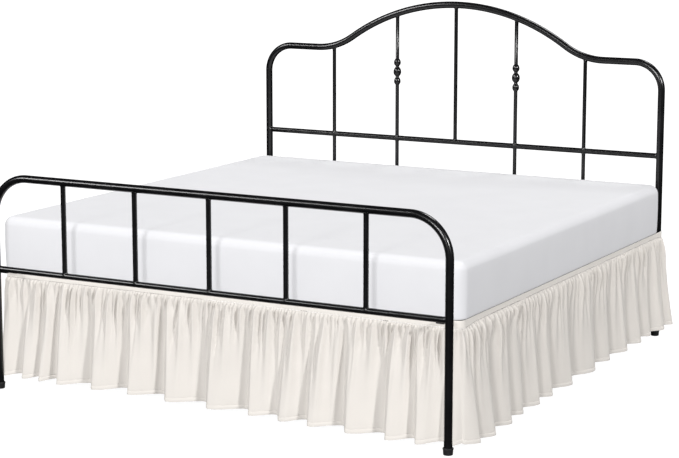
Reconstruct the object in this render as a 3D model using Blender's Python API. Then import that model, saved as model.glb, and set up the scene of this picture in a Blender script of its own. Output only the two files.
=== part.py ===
"""A gathered bed skirt on a black tubular metal bed with its mattress.

The skirt is one ruffle, sewn to a narrow elastic band. The band grips the base rails under the
mattress, runs inside the footboard's posts and round the outside of the headboard's posts. The
ruffle hangs from it on the left, the foot and the right, nearly to the floor.

+X is the bed's right as seen from the foot, +Y runs from the foot to the head, +Z is up. The
origin lies on the floor under the middle of the bed.
"""

import math

import bmesh
import bpy
import numpy as np

# Driving sizes, in metres.
POST_SPACING = 1.93  # between post centres, footboard and headboard alike
BED_LENGTH = 2.08  # footboard plane to headboard plane
FOOTBOARD_Y = -1.027
GAP = 0.0003  # between pieces that touch on the real bed
CLOTH_CLEARANCE = 0.002  # between hanging cloth and metal

POST_RADIUS = 0.015
RAIL_RADIUS = 0.0115
FOOT_SPINDLE_RADIUS = 0.0098
HEAD_SPINDLE_RADIUS = 0.0082
TUBE_SIDES = 12
SHARP_ANGLE = 40  # degrees; duller edges are shaded smooth
CAP_RADIUS = 0.0195
CAP_HEIGHT = 0.025
CAP_FLOOR = 0.006
CAP_CHAMFER = 0.002
CAP_SIDES = 16

FOOTBOARD_TOP = 0.834  # axis of the footboard's top rail
FOOTBOARD_BEND = 0.15
LOWER_RAIL_Z = 0.475  # axis of the lower rail of both boards
SPINDLES_PER_BOARD = 5

SHOULDER_Z = 1.182  # axis of the headboard's level shoulders
PEAK_Z = 1.397
HEADBOARD_BEND = 0.12
CREST_RADIUS = 0.93  # the arched middle of the headboard
VALLEY_RADIUS = 0.318  # where the arch runs out into the shoulders
CROSS_RAIL_Z = 0.784
INNER_SPINDLE_X = 0.292
OUTER_SPINDLE_X = 0.617
# The three turned beads on two spindles: height of the bead's middle, length, radius.
BEADS = ((1.129, 0.038, 0.0158), (1.0867, 0.046, 0.0178), (1.044, 0.038, 0.0152))
BEAD_RINGS = 5
BEND_STEPS = 7  # facets along a quarter bend of tube
ARCH_STEPS = 14  # facets along half of the headboard's arch

MATTRESS_HALF_WIDTH = 0.989
MATTRESS_FRONT = 0.056  # behind the footboard plane
MATTRESS_BACK = 2.045
MATTRESS_HEIGHT = 0.204
MATTRESS_CORNER = 0.055  # plan radius
MATTRESS_EDGE = 0.024  # radius of the top and bottom edges
CORNER_STEPS = 6  # facets round a mattress or band corner
EDGE_STEPS = 4

BASE_FRONT = 0.0680
BASE_BACK = 2.035
BASE_CORNER = 0.025
RAIL_WIDTH = 0.030
RAIL_DEPTH = 0.028
SLAT_THICKNESS = 0.003
SLAT_WIDTH = 0.060
SLAT_COUNT = 9
PLATE_WIDTH = 0.030
PLATE_REACH = 0.110
PLATE_HOLD = 0.004  # how far a plate runs past the axis of the rail that it hangs from
CENTRE_LEG_RADIUS = 0.0125
CENTRE_LEG_PLACES = (0.32, 0.68)  # fractions of the base's length

BAND_HEIGHT = 0.028
BAND_THICKNESS = 0.0016
BAND_DROP = 0.0007  # from the rails' top to the band's top
CLOTH_THICKNESS = 0.0016

RUFFLE_COLUMN = 0.0155  # spacing of the ruffle's columns along the band
RUFFLE_ROWS = (0.0, 0.05, 0.13, 0.26, 0.45, 0.70, 1.0)  # fractions of the drop
GATHER_DEPTH = 0.0026  # of the small gathers under the band
GATHER_PLACE = 0.07  # fraction of the drop where they are deepest
GATHER_SPREAD = 0.13
GATHER_UNEVEN = 0.2
GATHER_WANDER = 0.37  # radians a column by which their depth comes and goes
FOLD_GROWTH = 0.8  # a fold deepens with this power of the drop
MIN_STAND = 0.0016  # the cloth stays this far in front of the band's line
HEM_DIP = 0.010  # how much lower the hem is on a fold's crest than in its valley
# Across its width a fold has a main crest and, near the band, a twin that joins it lower down:
# the crest's place, then the twin's offset from it at the band, both as shares of the width.
FOOT_CREST = (0.22, 0.38)
SIDE_CREST = (0.60, -0.30)
TWIN_MERGE = 0.65  # fraction of the drop where the twin crests have become one
TWIN_DIP = 0.35  # of the hollow between them, as a share of the fold's depth

# Main folds in order along the hem, the sides' from the foot to the head:
# width, depth, lean (how much further along the run the fold starts at the band).
FOOT_FOLDS = (
    (0.092, 0.030, 0.000), (0.089, 0.034, 0.006), (0.074, 0.036, 0.008),
    (0.151, 0.044, -0.014), (0.166, 0.048, -0.016), (0.158, 0.044, -0.016),
    (0.180, 0.050, -0.010), (0.187, 0.048, -0.018), (0.121, 0.036, -0.014),
    (0.121, 0.038, 0.012), (0.145, 0.046, -0.018), (0.166, 0.048, -0.016),
    (0.117, 0.042, -0.018), (0.112, 0.038, -0.020), (0.037, 0.010, -0.006),
)
SIDE_FOLDS = (
    (0.050, 0.030, 0.000), (0.150, 0.048, 0.006), (0.162, 0.048, 0.016),
    (0.103, 0.034, 0.020), (0.158, 0.046, 0.034), (0.120, 0.036, 0.030),
    (0.205, 0.048, 0.016), (0.268, 0.054, 0.020), (0.133, 0.036, 0.010),
    (0.186, 0.044, 0.014), (0.158, 0.042, 0.016), (0.085, 0.034, -0.006),
    (0.140, 0.042, 0.018), (0.073, 0.026, 0.008),
)
# How the ruffle stands out: place along the run, flare at the hem, height of the hem.
LEFT_SECTIONS = (
    (0.00, 0.064, 0.062), (0.14, 0.032, 0.054), (0.50, 0.028, 0.052), (0.85, 0.036, 0.052),
    (0.96, 0.054, 0.053), (1.00, 0.044, 0.054),
)
FOOT_SECTIONS = (
    (0.00, 0.044, 0.054), (0.06, 0.056, 0.056), (0.30, 0.054, 0.056), (0.50, 0.056, 0.046),
    (0.75, 0.062, 0.036), (0.92, 0.066, 0.029), (1.00, 0.044, 0.030),
)
RIGHT_SECTIONS = (
    (0.00, 0.044, 0.030), (0.03, 0.058, 0.029), (0.07, 0.047, 0.029), (0.15, 0.038, 0.034),
    (0.35, 0.029, 0.042), (0.60, 0.028, 0.046), (0.86, 0.031, 0.053), (1.00, 0.064, 0.066),
)

# Sizes that follow from the ones above.
HALF_SPACING = POST_SPACING / 2
HEADBOARD_Y = FOOTBOARD_Y + BED_LENGTH
TUBE_END = CAP_FLOOR + GAP
BOARD_REACH = HALF_SPACING - POST_RADIUS - GAP  # of a rail, to the sides of the posts
ARCH_SWING = math.acos(1 - (PEAK_Z - SHOULDER_Z) / (CREST_RADIUS + VALLEY_RADIUS))
ARCH_TURN_X = CREST_RADIUS * math.sin(ARCH_SWING)  # where the arch turns from crest to valley
ARCH_END_X = (CREST_RADIUS + VALLEY_RADIUS) * math.sin(ARCH_SWING)
BASE_HALF_WIDTH = HALF_SPACING + POST_RADIUS  # level with the outside of the posts
BASE_FOOT_Y = FOOTBOARD_Y + BASE_FRONT
BASE_HEAD_Y = FOOTBOARD_Y + BASE_BACK
MATTRESS_BOTTOM = LOWER_RAIL_Z - RAIL_RADIUS  # the base is bolted under the lower rails
SLAT_TOP = MATTRESS_BOTTOM - GAP
SLAT_BOTTOM = SLAT_TOP - SLAT_THICKNESS
RAIL_TOP = SLAT_BOTTOM - GAP
RAIL_BOTTOM = RAIL_TOP - RAIL_DEPTH
BAND_TOP = RAIL_TOP - BAND_DROP
BAND_BOTTOM = BAND_TOP - BAND_HEIGHT
BAND_STANDOFF = GAP + BAND_THICKNESS / 2  # from what it grips to the band's middle
RUFFLE_TOP = BAND_BOTTOM - GAP


def make_material(name, color, roughness, metallic=0.0):
    """Return a Principled material with one colour."""
    material = bpy.data.materials.new(name)
    material.use_nodes = True
    shader = material.node_tree.nodes["Principled BSDF"]
    shader.inputs["Base Color"].default_value = (*color, 1.0)
    shader.inputs["Roughness"].default_value = roughness
    shader.inputs["Metallic"].default_value = metallic
    return material


def add_object(name, vertices, faces, material, smooth=True):
    """Add one closed mesh object, its faces turned outwards."""
    mesh = bpy.data.meshes.new(name)
    mesh.from_pydata([tuple(vertex) for vertex in vertices], [], faces)
    work = bmesh.new()
    work.from_mesh(mesh)
    bmesh.ops.recalc_face_normals(work, faces=work.faces)
    work.to_mesh(mesh)
    work.free()
    if smooth:
        mesh.shade_smooth()
        mesh.set_sharp_from_angle(angle=math.radians(SHARP_ANGLE))
    mesh.materials.append(material)
    thing = bpy.data.objects.new(name, mesh)
    bpy.context.scene.collection.objects.link(thing)
    return thing


def bridge_rings(rings):
    """Join equal rings of points side by side and cap both ends; return vertices and faces."""
    sides = len(rings[0])
    vertices = [point for ring in rings for point in ring]
    faces = []
    for row in range(len(rings) - 1):
        for side in range(sides):
            low = row * sides + side
            low_next = row * sides + (side + 1) % sides
            faces.append((low, low_next, low_next + sides, low + sides))
    faces.append(tuple(range(sides))[::-1])
    faces.append(tuple(range((len(rings) - 1) * sides, len(rings) * sides)))
    return vertices, faces


def sweep_upright(name, path, radius, y, material):
    """Bend a round tube along a path of (x, z) points in an upright plane."""
    points = np.array(path)
    tangents = np.gradient(points, axis=0)
    tangents /= np.linalg.norm(tangents, axis=1)[:, None]
    rings = []
    for (x, z), (along_x, along_z) in zip(points, tangents):
        ring = []
        for side in range(TUBE_SIDES):
            angle = 2 * math.pi * side / TUBE_SIDES
            inward = radius * math.cos(angle)
            ring.append((x - along_z * inward, y + radius * math.sin(angle), z + along_x * inward))
        rings.append(ring)
    return add_object(name, *bridge_rings(rings), material)


def bar_along_x(name, y, z, material):
    """Make a straight round rail between two posts."""
    return sweep_upright(name, [(-BOARD_REACH, z), (BOARD_REACH, z)], RAIL_RADIUS, y, material)


def turned(name, x, y, profile, sides, material, top_slope=0.0):
    """Turn a profile of (radius, z) about an upright axis; the top end may be cut on a slope."""
    rings = []
    for row, (radius, z) in enumerate(profile):
        slope = top_slope if row == len(profile) - 1 else 0.0
        ring = []
        for side in range(sides):
            angle = 2 * math.pi * side / sides
            across = radius * math.cos(angle)
            ring.append((x + across, y + radius * math.sin(angle), z + slope * across))
        rings.append(ring)
    return add_object(name, *bridge_rings(rings), material)


def slab(name, low, high, material):
    """Make a plain box between two corners."""
    (x0, y0, z0), (x1, y1, z1) = low, high
    plan = [(x0, y0), (x1, y0), (x1, y1), (x0, y1)]
    return prism(name, plan, z0, z1, material)


def prism(name, plan, z_low, z_high, material):
    """Extrude a plan outline upwards."""
    rings = [[(x, y, z) for x, y in plan] for z in (z_low, z_high)]
    return add_object(name, *bridge_rings(rings), material, smooth=False)


def arc(centre_x, centre_y, radius, start, end, steps):
    """Return points on an arc, angles in degrees, both ends included."""
    angles = np.radians(np.linspace(start, end, steps + 1))
    return [(centre_x + radius * math.cos(a), centre_y + radius * math.sin(a)) for a in angles]


def footboard_path():
    """One tube: up the left post, across the top and down the right post."""
    centre_x = HALF_SPACING - FOOTBOARD_BEND
    centre_z = FOOTBOARD_TOP - FOOTBOARD_BEND
    right = arc(centre_x, centre_z, FOOTBOARD_BEND, 90, 0, BEND_STEPS)
    right.append((HALF_SPACING, TUBE_END))
    return [(-x, z) for x, z in reversed(right)] + right


def headboard_height(x):
    """Height of the headboard tube's axis over the arch and the level shoulders."""
    across = abs(x)
    if across < ARCH_TURN_X:
        return PEAK_Z - CREST_RADIUS + math.sqrt(CREST_RADIUS**2 - across**2)
    from_shoulder = ARCH_END_X - across
    if from_shoulder > 0:
        return SHOULDER_Z + VALLEY_RADIUS - math.sqrt(VALLEY_RADIUS**2 - from_shoulder**2)
    return SHOULDER_Z


def headboard_path():
    """One tube: up a post, over the shoulder, the arch and the other shoulder, and down."""
    centre_x = HALF_SPACING - HEADBOARD_BEND
    arch = np.linspace(0.0, ARCH_END_X, ARCH_STEPS + 1)
    right = [(x, headboard_height(x)) for x in arch]
    right += arc(centre_x, SHOULDER_Z - HEADBOARD_BEND, HEADBOARD_BEND, 90, 0, BEND_STEPS)
    right.append((HALF_SPACING, TUBE_END))
    return [(-x, z) for x, z in reversed(right[1:])] + right


def foot_cap(name, x, y, tube_radius, material):
    """A moulded cap: a cup that the tube's end stands in."""
    socket = (tube_radius + GAP) / math.cos(math.pi / CAP_SIDES)
    rim = CAP_RADIUS - CAP_CHAMFER
    profile = (
        (rim, 0.0), (CAP_RADIUS, CAP_CHAMFER), (CAP_RADIUS, CAP_HEIGHT - CAP_CHAMFER),
        (rim, CAP_HEIGHT), (socket, CAP_HEIGHT), (socket, CAP_FLOOR),
    )
    return turned(name, x, y, profile, CAP_SIDES, material)


def spindle(name, x, y, z_low, z_high, rod, material, beads=(), top_slope=0.0):
    """A thin upright rod of that radius, with turned beads where they are given."""
    profile = [(rod, z_low)]
    for middle, length, radius in sorted(beads):
        start = math.asin(rod / radius)
        for step in range(BEAD_RINGS + 1):
            angle = start + (math.pi - 2 * start) * step / BEAD_RINGS
            profile.append((radius * math.sin(angle), middle - length / 2 * math.cos(angle)))
    profile.append((rod, z_high))
    return turned(name, x, y, profile, TUBE_SIDES, material, top_slope)


def build_footboard(metal):
    """The bent hoop, its lower rail and five spindles at even spaces."""
    y = FOOTBOARD_Y
    sweep_upright("footboard_hoop", footboard_path(), POST_RADIUS, y, metal)
    bar_along_x("footboard_rail", y, LOWER_RAIL_Z, metal)
    spacing = POST_SPACING / (SPINDLES_PER_BOARD + 1)
    z_low = LOWER_RAIL_Z + RAIL_RADIUS + GAP
    z_high = FOOTBOARD_TOP - POST_RADIUS - GAP
    for index in range(SPINDLES_PER_BOARD):
        x = (index + 1) * spacing - HALF_SPACING
        name = f"footboard_spindle_{index + 1}"
        spindle(name, x, y, z_low, z_high, FOOT_SPINDLE_RADIUS, metal)


def build_headboard(metal):
    """The arched hoop, two rails, five spindles above the cross rail and four below it."""
    y = HEADBOARD_Y
    sweep_upright("headboard_hoop", headboard_path(), POST_RADIUS, y, metal)
    bar_along_x("headboard_cross_rail", y, CROSS_RAIL_Z, metal)
    bar_along_x("headboard_lower_rail", y, LOWER_RAIL_Z, metal)
    places = (-OUTER_SPINDLE_X, -INNER_SPINDLE_X, 0.0, INNER_SPINDLE_X, OUTER_SPINDLE_X)
    for index, x in enumerate(places):
        slope = (headboard_height(x + GAP) - headboard_height(x - GAP)) / (2 * GAP)
        z_high = headboard_height(x) - (POST_RADIUS + GAP) * math.hypot(1.0, slope)
        z_low = CROSS_RAIL_Z + RAIL_RADIUS + GAP
        beads = BEADS if abs(x) == INNER_SPINDLE_X else ()
        name = f"headboard_spindle_{index + 1}"
        spindle(name, x, y, z_low, z_high, HEAD_SPINDLE_RADIUS, metal, beads, slope)
        if x:
            z_low = LOWER_RAIL_Z + RAIL_RADIUS + GAP
            z_high = CROSS_RAIL_Z - RAIL_RADIUS - GAP
            name = f"headboard_low_spindle_{index + 1}"
            spindle(name, x, y, z_low, z_high, HEAD_SPINDLE_RADIUS, metal)


def build_foot_caps(plastic):
    """A cap under each of the four posts."""
    for board, y in (("footboard", FOOTBOARD_Y), ("headboard", HEADBOARD_Y)):
        for side, x in (("left", -HALF_SPACING), ("right", HALF_SPACING)):
            foot_cap(f"{board}_cap_{side}", x, y, POST_RADIUS, plastic)


def side_rail_plan(side):
    """Plan of a base rail whose two outer corners are rounded, so that the band lies smooth."""
    outer = BASE_HALF_WIDTH
    inner = outer - RAIL_WIDTH
    round_x = outer - BASE_CORNER
    plan = [(inner, BASE_HEAD_Y), (inner, BASE_FOOT_Y)]
    plan += arc(round_x, BASE_FOOT_Y + BASE_CORNER, BASE_CORNER, -90, 0, EDGE_STEPS)
    plan += arc(round_x, BASE_HEAD_Y - BASE_CORNER, BASE_CORNER, 0, 90, EDGE_STEPS)
    return [(side * x, y) for x, y in plan]


def build_base(metal, plastic):
    """The plain hidden base: rails, slats, centre rail with legs, and plates to both boards."""
    front, back = BASE_FOOT_Y, BASE_HEAD_Y
    for name, side in (("left", -1), ("right", 1)):
        prism(f"side_rail_{name}", side_rail_plan(side), RAIL_BOTTOM, RAIL_TOP, metal)
    reach = BASE_HALF_WIDTH - RAIL_WIDTH - GAP
    for name, y in (("foot", front), ("head", back - RAIL_WIDTH)):
        low = (-reach, y, RAIL_BOTTOM)
        slab(f"end_rail_{name}", low, (reach, y + RAIL_WIDTH, RAIL_TOP), metal)
    rail_front = front + RAIL_WIDTH + GAP
    rail_back = back - RAIL_WIDTH - GAP
    half = RAIL_WIDTH / 2
    slab("centre_rail", (-half, rail_front, RAIL_BOTTOM), (half, rail_back, RAIL_TOP), metal)
    for index, place in enumerate(CENTRE_LEG_PLACES):
        y = front + place * (back - front)
        profile = ((CENTRE_LEG_RADIUS, TUBE_END), (CENTRE_LEG_RADIUS, RAIL_BOTTOM - GAP))
        turned(f"centre_leg_{index + 1}", 0.0, y, profile, TUBE_SIDES, metal)
        foot_cap(f"centre_cap_{index + 1}", 0.0, y, CENTRE_LEG_RADIUS, plastic)

    first = front + PLATE_REACH
    last = back - PLATE_REACH
    slat_reach = BASE_HALF_WIDTH - BAND_THICKNESS
    for index in range(SLAT_COUNT):
        y = first + (last - first) * index / (SLAT_COUNT - 1) - SLAT_WIDTH / 2
        low = (-slat_reach, y, SLAT_BOTTOM)
        slab(f"slat_{index + 1}", low, (slat_reach, y + SLAT_WIDTH, SLAT_TOP), metal)

    plate_outer = HALF_SPACING - CAP_RADIUS
    plate_inner = plate_outer - PLATE_WIDTH
    plate_end = PLATE_REACH - SLAT_WIDTH / 2 - CLOTH_CLEARANCE
    for board, y0, y1 in (
        ("foot", FOOTBOARD_Y - PLATE_HOLD, front + plate_end),
        ("head", back - plate_end, HEADBOARD_Y + PLATE_HOLD),
    ):
        for name, side in (("left", -1), ("right", 1)):
            x0, x1 = sorted((side * plate_inner, side * plate_outer))
            slab(f"{board}_plate_{name}", (x0, y0, SLAT_BOTTOM), (x1, y1, SLAT_TOP), metal)


def build_mattress(fabric):
    """A plain mattress with rounded corners and edges."""
    half_width = MATTRESS_HALF_WIDTH
    front = FOOTBOARD_Y + MATTRESS_FRONT
    back = FOOTBOARD_Y + MATTRESS_BACK
    top = MATTRESS_BOTTOM + MATTRESS_HEIGHT
    levels = []
    for angle in np.radians(np.linspace(-90, 0, EDGE_STEPS)):
        levels.append((1 - math.cos(angle), MATTRESS_BOTTOM + MATTRESS_EDGE * (1 + math.sin(angle))))
    for angle in np.radians(np.linspace(0, 90, EDGE_STEPS + 1)):
        levels.append((1 - math.cos(angle), top - MATTRESS_EDGE * (1 - math.sin(angle))))
    corners = (
        (half_width - MATTRESS_CORNER, back - MATTRESS_CORNER, 0),
        (MATTRESS_CORNER - half_width, back - MATTRESS_CORNER, 90),
        (MATTRESS_CORNER - half_width, front + MATTRESS_CORNER, 180),
        (half_width - MATTRESS_CORNER, front + MATTRESS_CORNER, 270),
    )
    rings = []
    for inset, z in levels:
        radius = MATTRESS_CORNER - MATTRESS_EDGE * inset
        plan = []
        for centre_x, centre_y, start in corners:
            plan += arc(centre_x, centre_y, radius, start, start + 90, CORNER_STEPS)
        rings.append([(x, y, z) for x, y in plan])
    return add_object("mattress", *bridge_rings(rings), fabric)


def foot_corner_path(standoff):
    """Plan line that keeps off the base: from the foot's middle round the right corner."""
    corner_x = BASE_HALF_WIDTH - BASE_CORNER
    corner_y = BASE_FOOT_Y + BASE_CORNER
    corner = arc(corner_x, corner_y, BASE_CORNER + standoff, -90, 0, CORNER_STEPS)
    return [(0.0, BASE_FOOT_Y - standoff)] + corner


def band_half_path(standoff):
    """Plan of the band's right half, from the foot's middle to the head's middle."""
    path = foot_corner_path(standoff)
    path += arc(HALF_SPACING, HEADBOARD_Y, POST_RADIUS + standoff, 0, 90, CORNER_STEPS)
    path.append((0.0, HEADBOARD_Y + POST_RADIUS + standoff))
    return path


def build_band(elastic):
    """The elastic band: one closed loop round the base and the headboard's posts."""
    loops = []
    for standoff in (GAP, GAP + BAND_THICKNESS):
        right = band_half_path(standoff)
        loops.append(right + [(-x, y) for x, y in reversed(right[1:-1])])
    count = len(loops[0])
    sections = []
    for (inner_x, inner_y), (outer_x, outer_y) in zip(*loops):
        sections.append(
            [
                (inner_x, inner_y, BAND_BOTTOM), (outer_x, outer_y, BAND_BOTTOM),
                (outer_x, outer_y, BAND_TOP), (inner_x, inner_y, BAND_TOP),
            ]
        )
    vertices = [point for section in sections for point in section]
    faces = []
    for index in range(count):
        here = 4 * index
        after = 4 * ((index + 1) % count)
        for side in range(4):
            turn = (side + 1) % 4
            faces.append((here + side, here + turn, after + turn, after + side))
    return add_object("skirt_band", vertices, faces, elastic, smooth=False)


def ruffle_plan():
    """Columns of the ruffle along the band: plan points, outward normals, run ends."""
    right = foot_corner_path(BAND_STANDOFF)
    right.append((HALF_SPACING + POST_RADIUS + BAND_STANDOFF, HEADBOARD_Y + POST_RADIUS))
    right = np.array(right)
    left = right[:0:-1] * (-1.0, 1.0)
    corners = np.vstack([left, right])
    steps = np.linalg.norm(np.diff(corners, axis=0), axis=1)
    lengths = np.concatenate([[0.0], np.cumsum(steps)])
    columns = int(round(lengths[-1] / RUFFLE_COLUMN)) + 1
    along = np.linspace(0.0, lengths[-1], columns)
    plan = np.stack([np.interp(along, lengths, corners[:, axis]) for axis in (0, 1)], axis=1)
    tangents = np.gradient(plan, axis=0)
    tangents /= np.linalg.norm(tangents, axis=1)[:, None]
    normals = np.stack([tangents[:, 1], -tangents[:, 0]], axis=1)
    half_corner = math.pi / 4 * (BASE_CORNER + BAND_STANDOFF)
    foot_half = BASE_HALF_WIDTH - BASE_CORNER + half_corner
    middle = lengths[-1] / 2
    return along, plan, normals, (0.0, middle - foot_half, middle + foot_half, lengths[-1])


def fold_profile(within, crest, drop):
    """Height across a fold: 0 in its valleys, 1 on its crests.

    It rises to the first crest and falls from the last one in halves of a cosine, with a
    shallow dip between the two, which close up as the drop grows.
    """
    apart = max(0.0, 1 - drop / TWIN_MERGE)
    first, last = sorted((crest[0], crest[0] + crest[1] * apart))
    rise = 0.5 - 0.5 * np.cos(np.pi * np.clip(within / first, 0.0, 1.0))
    fall = 0.5 + 0.5 * np.cos(np.pi * np.clip((within - last) / (1 - last), 0.0, 1.0))
    between = np.clip((within - first) / max(last - first, GAP), 0.0, 1.0)
    return np.minimum(rise, fall) - TWIN_DIP * apart * np.sin(np.pi * between) ** 2


def run_folds(place, folds, crest, drop):
    """Fold profile and fold depth at places 0 to 1 along one run, at one height."""
    width, depth, lean = np.array(folds).T
    edges = np.concatenate([[0.0], np.cumsum(width)])
    edges[:-1] += lean * (1 - drop)
    edges /= edges[-1]
    index = np.clip(np.searchsorted(edges, place, side="right") - 1, 0, len(folds) - 1)
    within = (place - edges[index]) / (edges[index + 1] - edges[index])
    return fold_profile(within, crest, drop), depth[index]


def soften(values, reach=3):
    """Round off the kinks of a run of values with a short moving average."""
    padded = np.pad(values, reach, mode="edge")
    return np.convolve(padded, np.ones(2 * reach + 1) / (2 * reach + 1), mode="valid")


def mirrored_run(folds, crest):
    """The same folds met from the other end."""
    width, depth, lean = np.array(folds).T
    starts = np.append(lean[1:], 0.0)
    rows = np.stack([width, depth, -starts], axis=1)[::-1]
    return rows, (1 - crest[0], -crest[1])


def ruffle_grid():
    """Points of the ruffle's middle surface, rows from the band down to the hem.

    A column hangs at plan + normal * out, where out grows down the drop v from nothing to
    flare + depth * (profile - 1/2), and small gathers cos(pi i) ripple just under the band.
    """
    along, plan, normals, ends = ruffle_plan()
    column = np.arange(len(along))
    run = np.clip(np.searchsorted(ends, along, side="right") - 1, 0, 2)
    start, end = np.array(ends)[run], np.array(ends)[run + 1]
    place = (along - start) / (end - start)
    folds = (mirrored_run(SIDE_FOLDS, SIDE_CREST), (FOOT_FOLDS, FOOT_CREST), (SIDE_FOLDS, SIDE_CREST))
    flare = np.empty(len(along))
    hem = np.empty(len(along))
    for number, sections in enumerate((LEFT_SECTIONS, FOOT_SECTIONS, RIGHT_SECTIONS)):
        here = run == number
        knots, flares, hems = np.array(sections).T
        flare[here] = np.interp(place[here], knots, flares)
        hem[here] = np.interp(place[here], knots, hems)
    flare = soften(flare)
    hem = soften(hem)
    gather = GATHER_DEPTH * np.cos(np.pi * column)
    gather *= 1 - GATHER_UNEVEN * (1 - np.sin(GATHER_WANDER * column))
    grid = []
    for drop in RUFFLE_ROWS:
        shapes = [run_folds(place[run == number], *folds[number], drop) for number in range(3)]
        profile, depth = (np.concatenate(parts) for parts in zip(*shapes))
        folded = soften(depth, 1) * (profile - 0.5) * drop**FOLD_GROWTH
        strength = math.exp(-(((drop - GATHER_PLACE) / GATHER_SPREAD) ** 2))
        small = gather * strength * min(1.0, drop / GATHER_PLACE)
        stand = MIN_STAND * min(1.0, drop / RUFFLE_ROWS[1])
        out = np.maximum(flare * drop + folded + small, stand)
        points = plan + normals * out[:, None]
        low = hem - HEM_DIP * (profile - 0.5)
        z = RUFFLE_TOP - (RUFFLE_TOP - low) * drop
        grid.append(np.column_stack([points, z]))
    return keep_off_posts(np.array(grid))


def keep_off_posts(grid):
    """Press the cloth back where it would touch a footboard post."""
    clear = POST_RADIUS + CLOTH_CLEARANCE + CLOTH_THICKNESS
    for side in (-1, 1):
        centre = np.array([side * HALF_SPACING, FOOTBOARD_Y])
        offset = grid[..., :2] - centre
        distance = np.linalg.norm(offset, axis=-1)
        near = distance < clear
        grid[near, :2] = centre + offset[near] * (clear / distance[near])[:, None]
    return grid


def build_ruffle(cloth):
    """The gathered ruffle: one sheet on three sides of the bed, thickened to a real cloth."""
    grid = ruffle_grid()
    rows, columns = grid.shape[:2]
    faces = []
    for row in range(rows - 1):
        for column in range(columns - 1):
            here = row * columns + column
            faces.append((here, here + columns, here + columns + 1, here + 1))
    mesh = bpy.data.meshes.new("skirt_ruffle")
    mesh.from_pydata([tuple(point) for point in grid.reshape(-1, 3)], [], faces)
    mesh.shade_smooth()
    mesh.materials.append(cloth)
    thing = bpy.data.objects.new("skirt_ruffle", mesh)
    bpy.context.scene.collection.objects.link(thing)
    solid = thing.modifiers.new("cloth thickness", "SOLIDIFY")
    solid.thickness = CLOTH_THICKNESS
    solid.offset = 0.0
    return thing


def main():
    """Clear the scene and build the bed with its skirt."""
    for thing in list(bpy.data.objects):
        bpy.data.objects.remove(thing, do_unlink=True)
    metal = make_material("black powder coat", (0.012, 0.012, 0.013), 0.38, 0.2)
    plastic = make_material("black plastic", (0.015, 0.015, 0.015), 0.5)
    white = make_material("white mattress fabric", (0.82, 0.82, 0.84), 0.9)
    ivory = make_material("ivory microfibre", (0.80, 0.77, 0.71), 0.85)
    elastic = make_material("ivory elastic", (0.80, 0.77, 0.71), 0.8)
    build_footboard(metal)
    build_headboard(metal)
    build_foot_caps(plastic)
    build_base(metal, plastic)
    build_mattress(white)
    build_band(elastic)
    build_ruffle(ivory)


main()
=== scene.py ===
"""A gathered bed skirt on a black tubular metal bed with its mattress.

The skirt is a ruffle sewn to a narrow elastic band. The sizes below are the bed's own, in metres,
with +X to the bed's right as seen from the foot, +Y from the foot to the head and +Z up.
"""

import math

import bpy
import numpy as np
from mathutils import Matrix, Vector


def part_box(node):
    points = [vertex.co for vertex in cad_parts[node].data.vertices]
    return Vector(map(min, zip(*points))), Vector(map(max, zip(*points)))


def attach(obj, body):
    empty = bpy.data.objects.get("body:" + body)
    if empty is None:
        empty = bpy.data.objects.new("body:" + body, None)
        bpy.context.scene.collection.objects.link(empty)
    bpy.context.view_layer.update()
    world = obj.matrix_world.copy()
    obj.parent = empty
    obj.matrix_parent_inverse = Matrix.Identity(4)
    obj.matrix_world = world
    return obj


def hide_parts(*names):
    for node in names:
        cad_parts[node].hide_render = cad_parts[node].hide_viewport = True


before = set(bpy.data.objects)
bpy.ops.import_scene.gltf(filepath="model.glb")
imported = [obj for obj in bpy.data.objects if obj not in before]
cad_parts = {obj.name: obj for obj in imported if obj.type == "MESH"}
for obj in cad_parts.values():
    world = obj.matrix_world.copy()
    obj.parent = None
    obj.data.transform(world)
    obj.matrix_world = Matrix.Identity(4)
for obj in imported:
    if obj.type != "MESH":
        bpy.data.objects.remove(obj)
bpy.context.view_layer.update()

bl_info = {
    "name": "Gathered Bed Skirt",
    "version": (1, 0, 0),
    "blender": (4, 5, 0),
    "location": "View3D > Sidebar > Bed Skirt",
    "description": "Builds a gathered bed skirt on a metal bed with its mattress",
    "category": "Add Mesh",
}

BODY = "root"
TINY = 1e-9

# Places that the solids give.
HOOP_LOW, HOOP_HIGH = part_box("footboard_hoop")
POST_RADIUS = (HOOP_HIGH.y - HOOP_LOW.y) / 2
HALF_SPACING = HOOP_HIGH.x - POST_RADIUS
FOOTBOARD_Y = (HOOP_LOW.y + HOOP_HIGH.y) / 2
FOOTBOARD_TOP = HOOP_HIGH.z - POST_RADIUS
HEADBOARD_LOW, HEADBOARD_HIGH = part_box("headboard_hoop")
HEADBOARD_Y = (HEADBOARD_LOW.y + HEADBOARD_HIGH.y) / 2
PEAK_Z = HEADBOARD_HIGH.z - POST_RADIUS
BAND_LOW, BAND_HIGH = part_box("skirt_band")
BASE_HALF_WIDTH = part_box("side_rail_right")[1].x
BASE_FOOT_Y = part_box("side_rail_right")[0].y
CAP_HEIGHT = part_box("footboard_cap_left")[1].z

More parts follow.
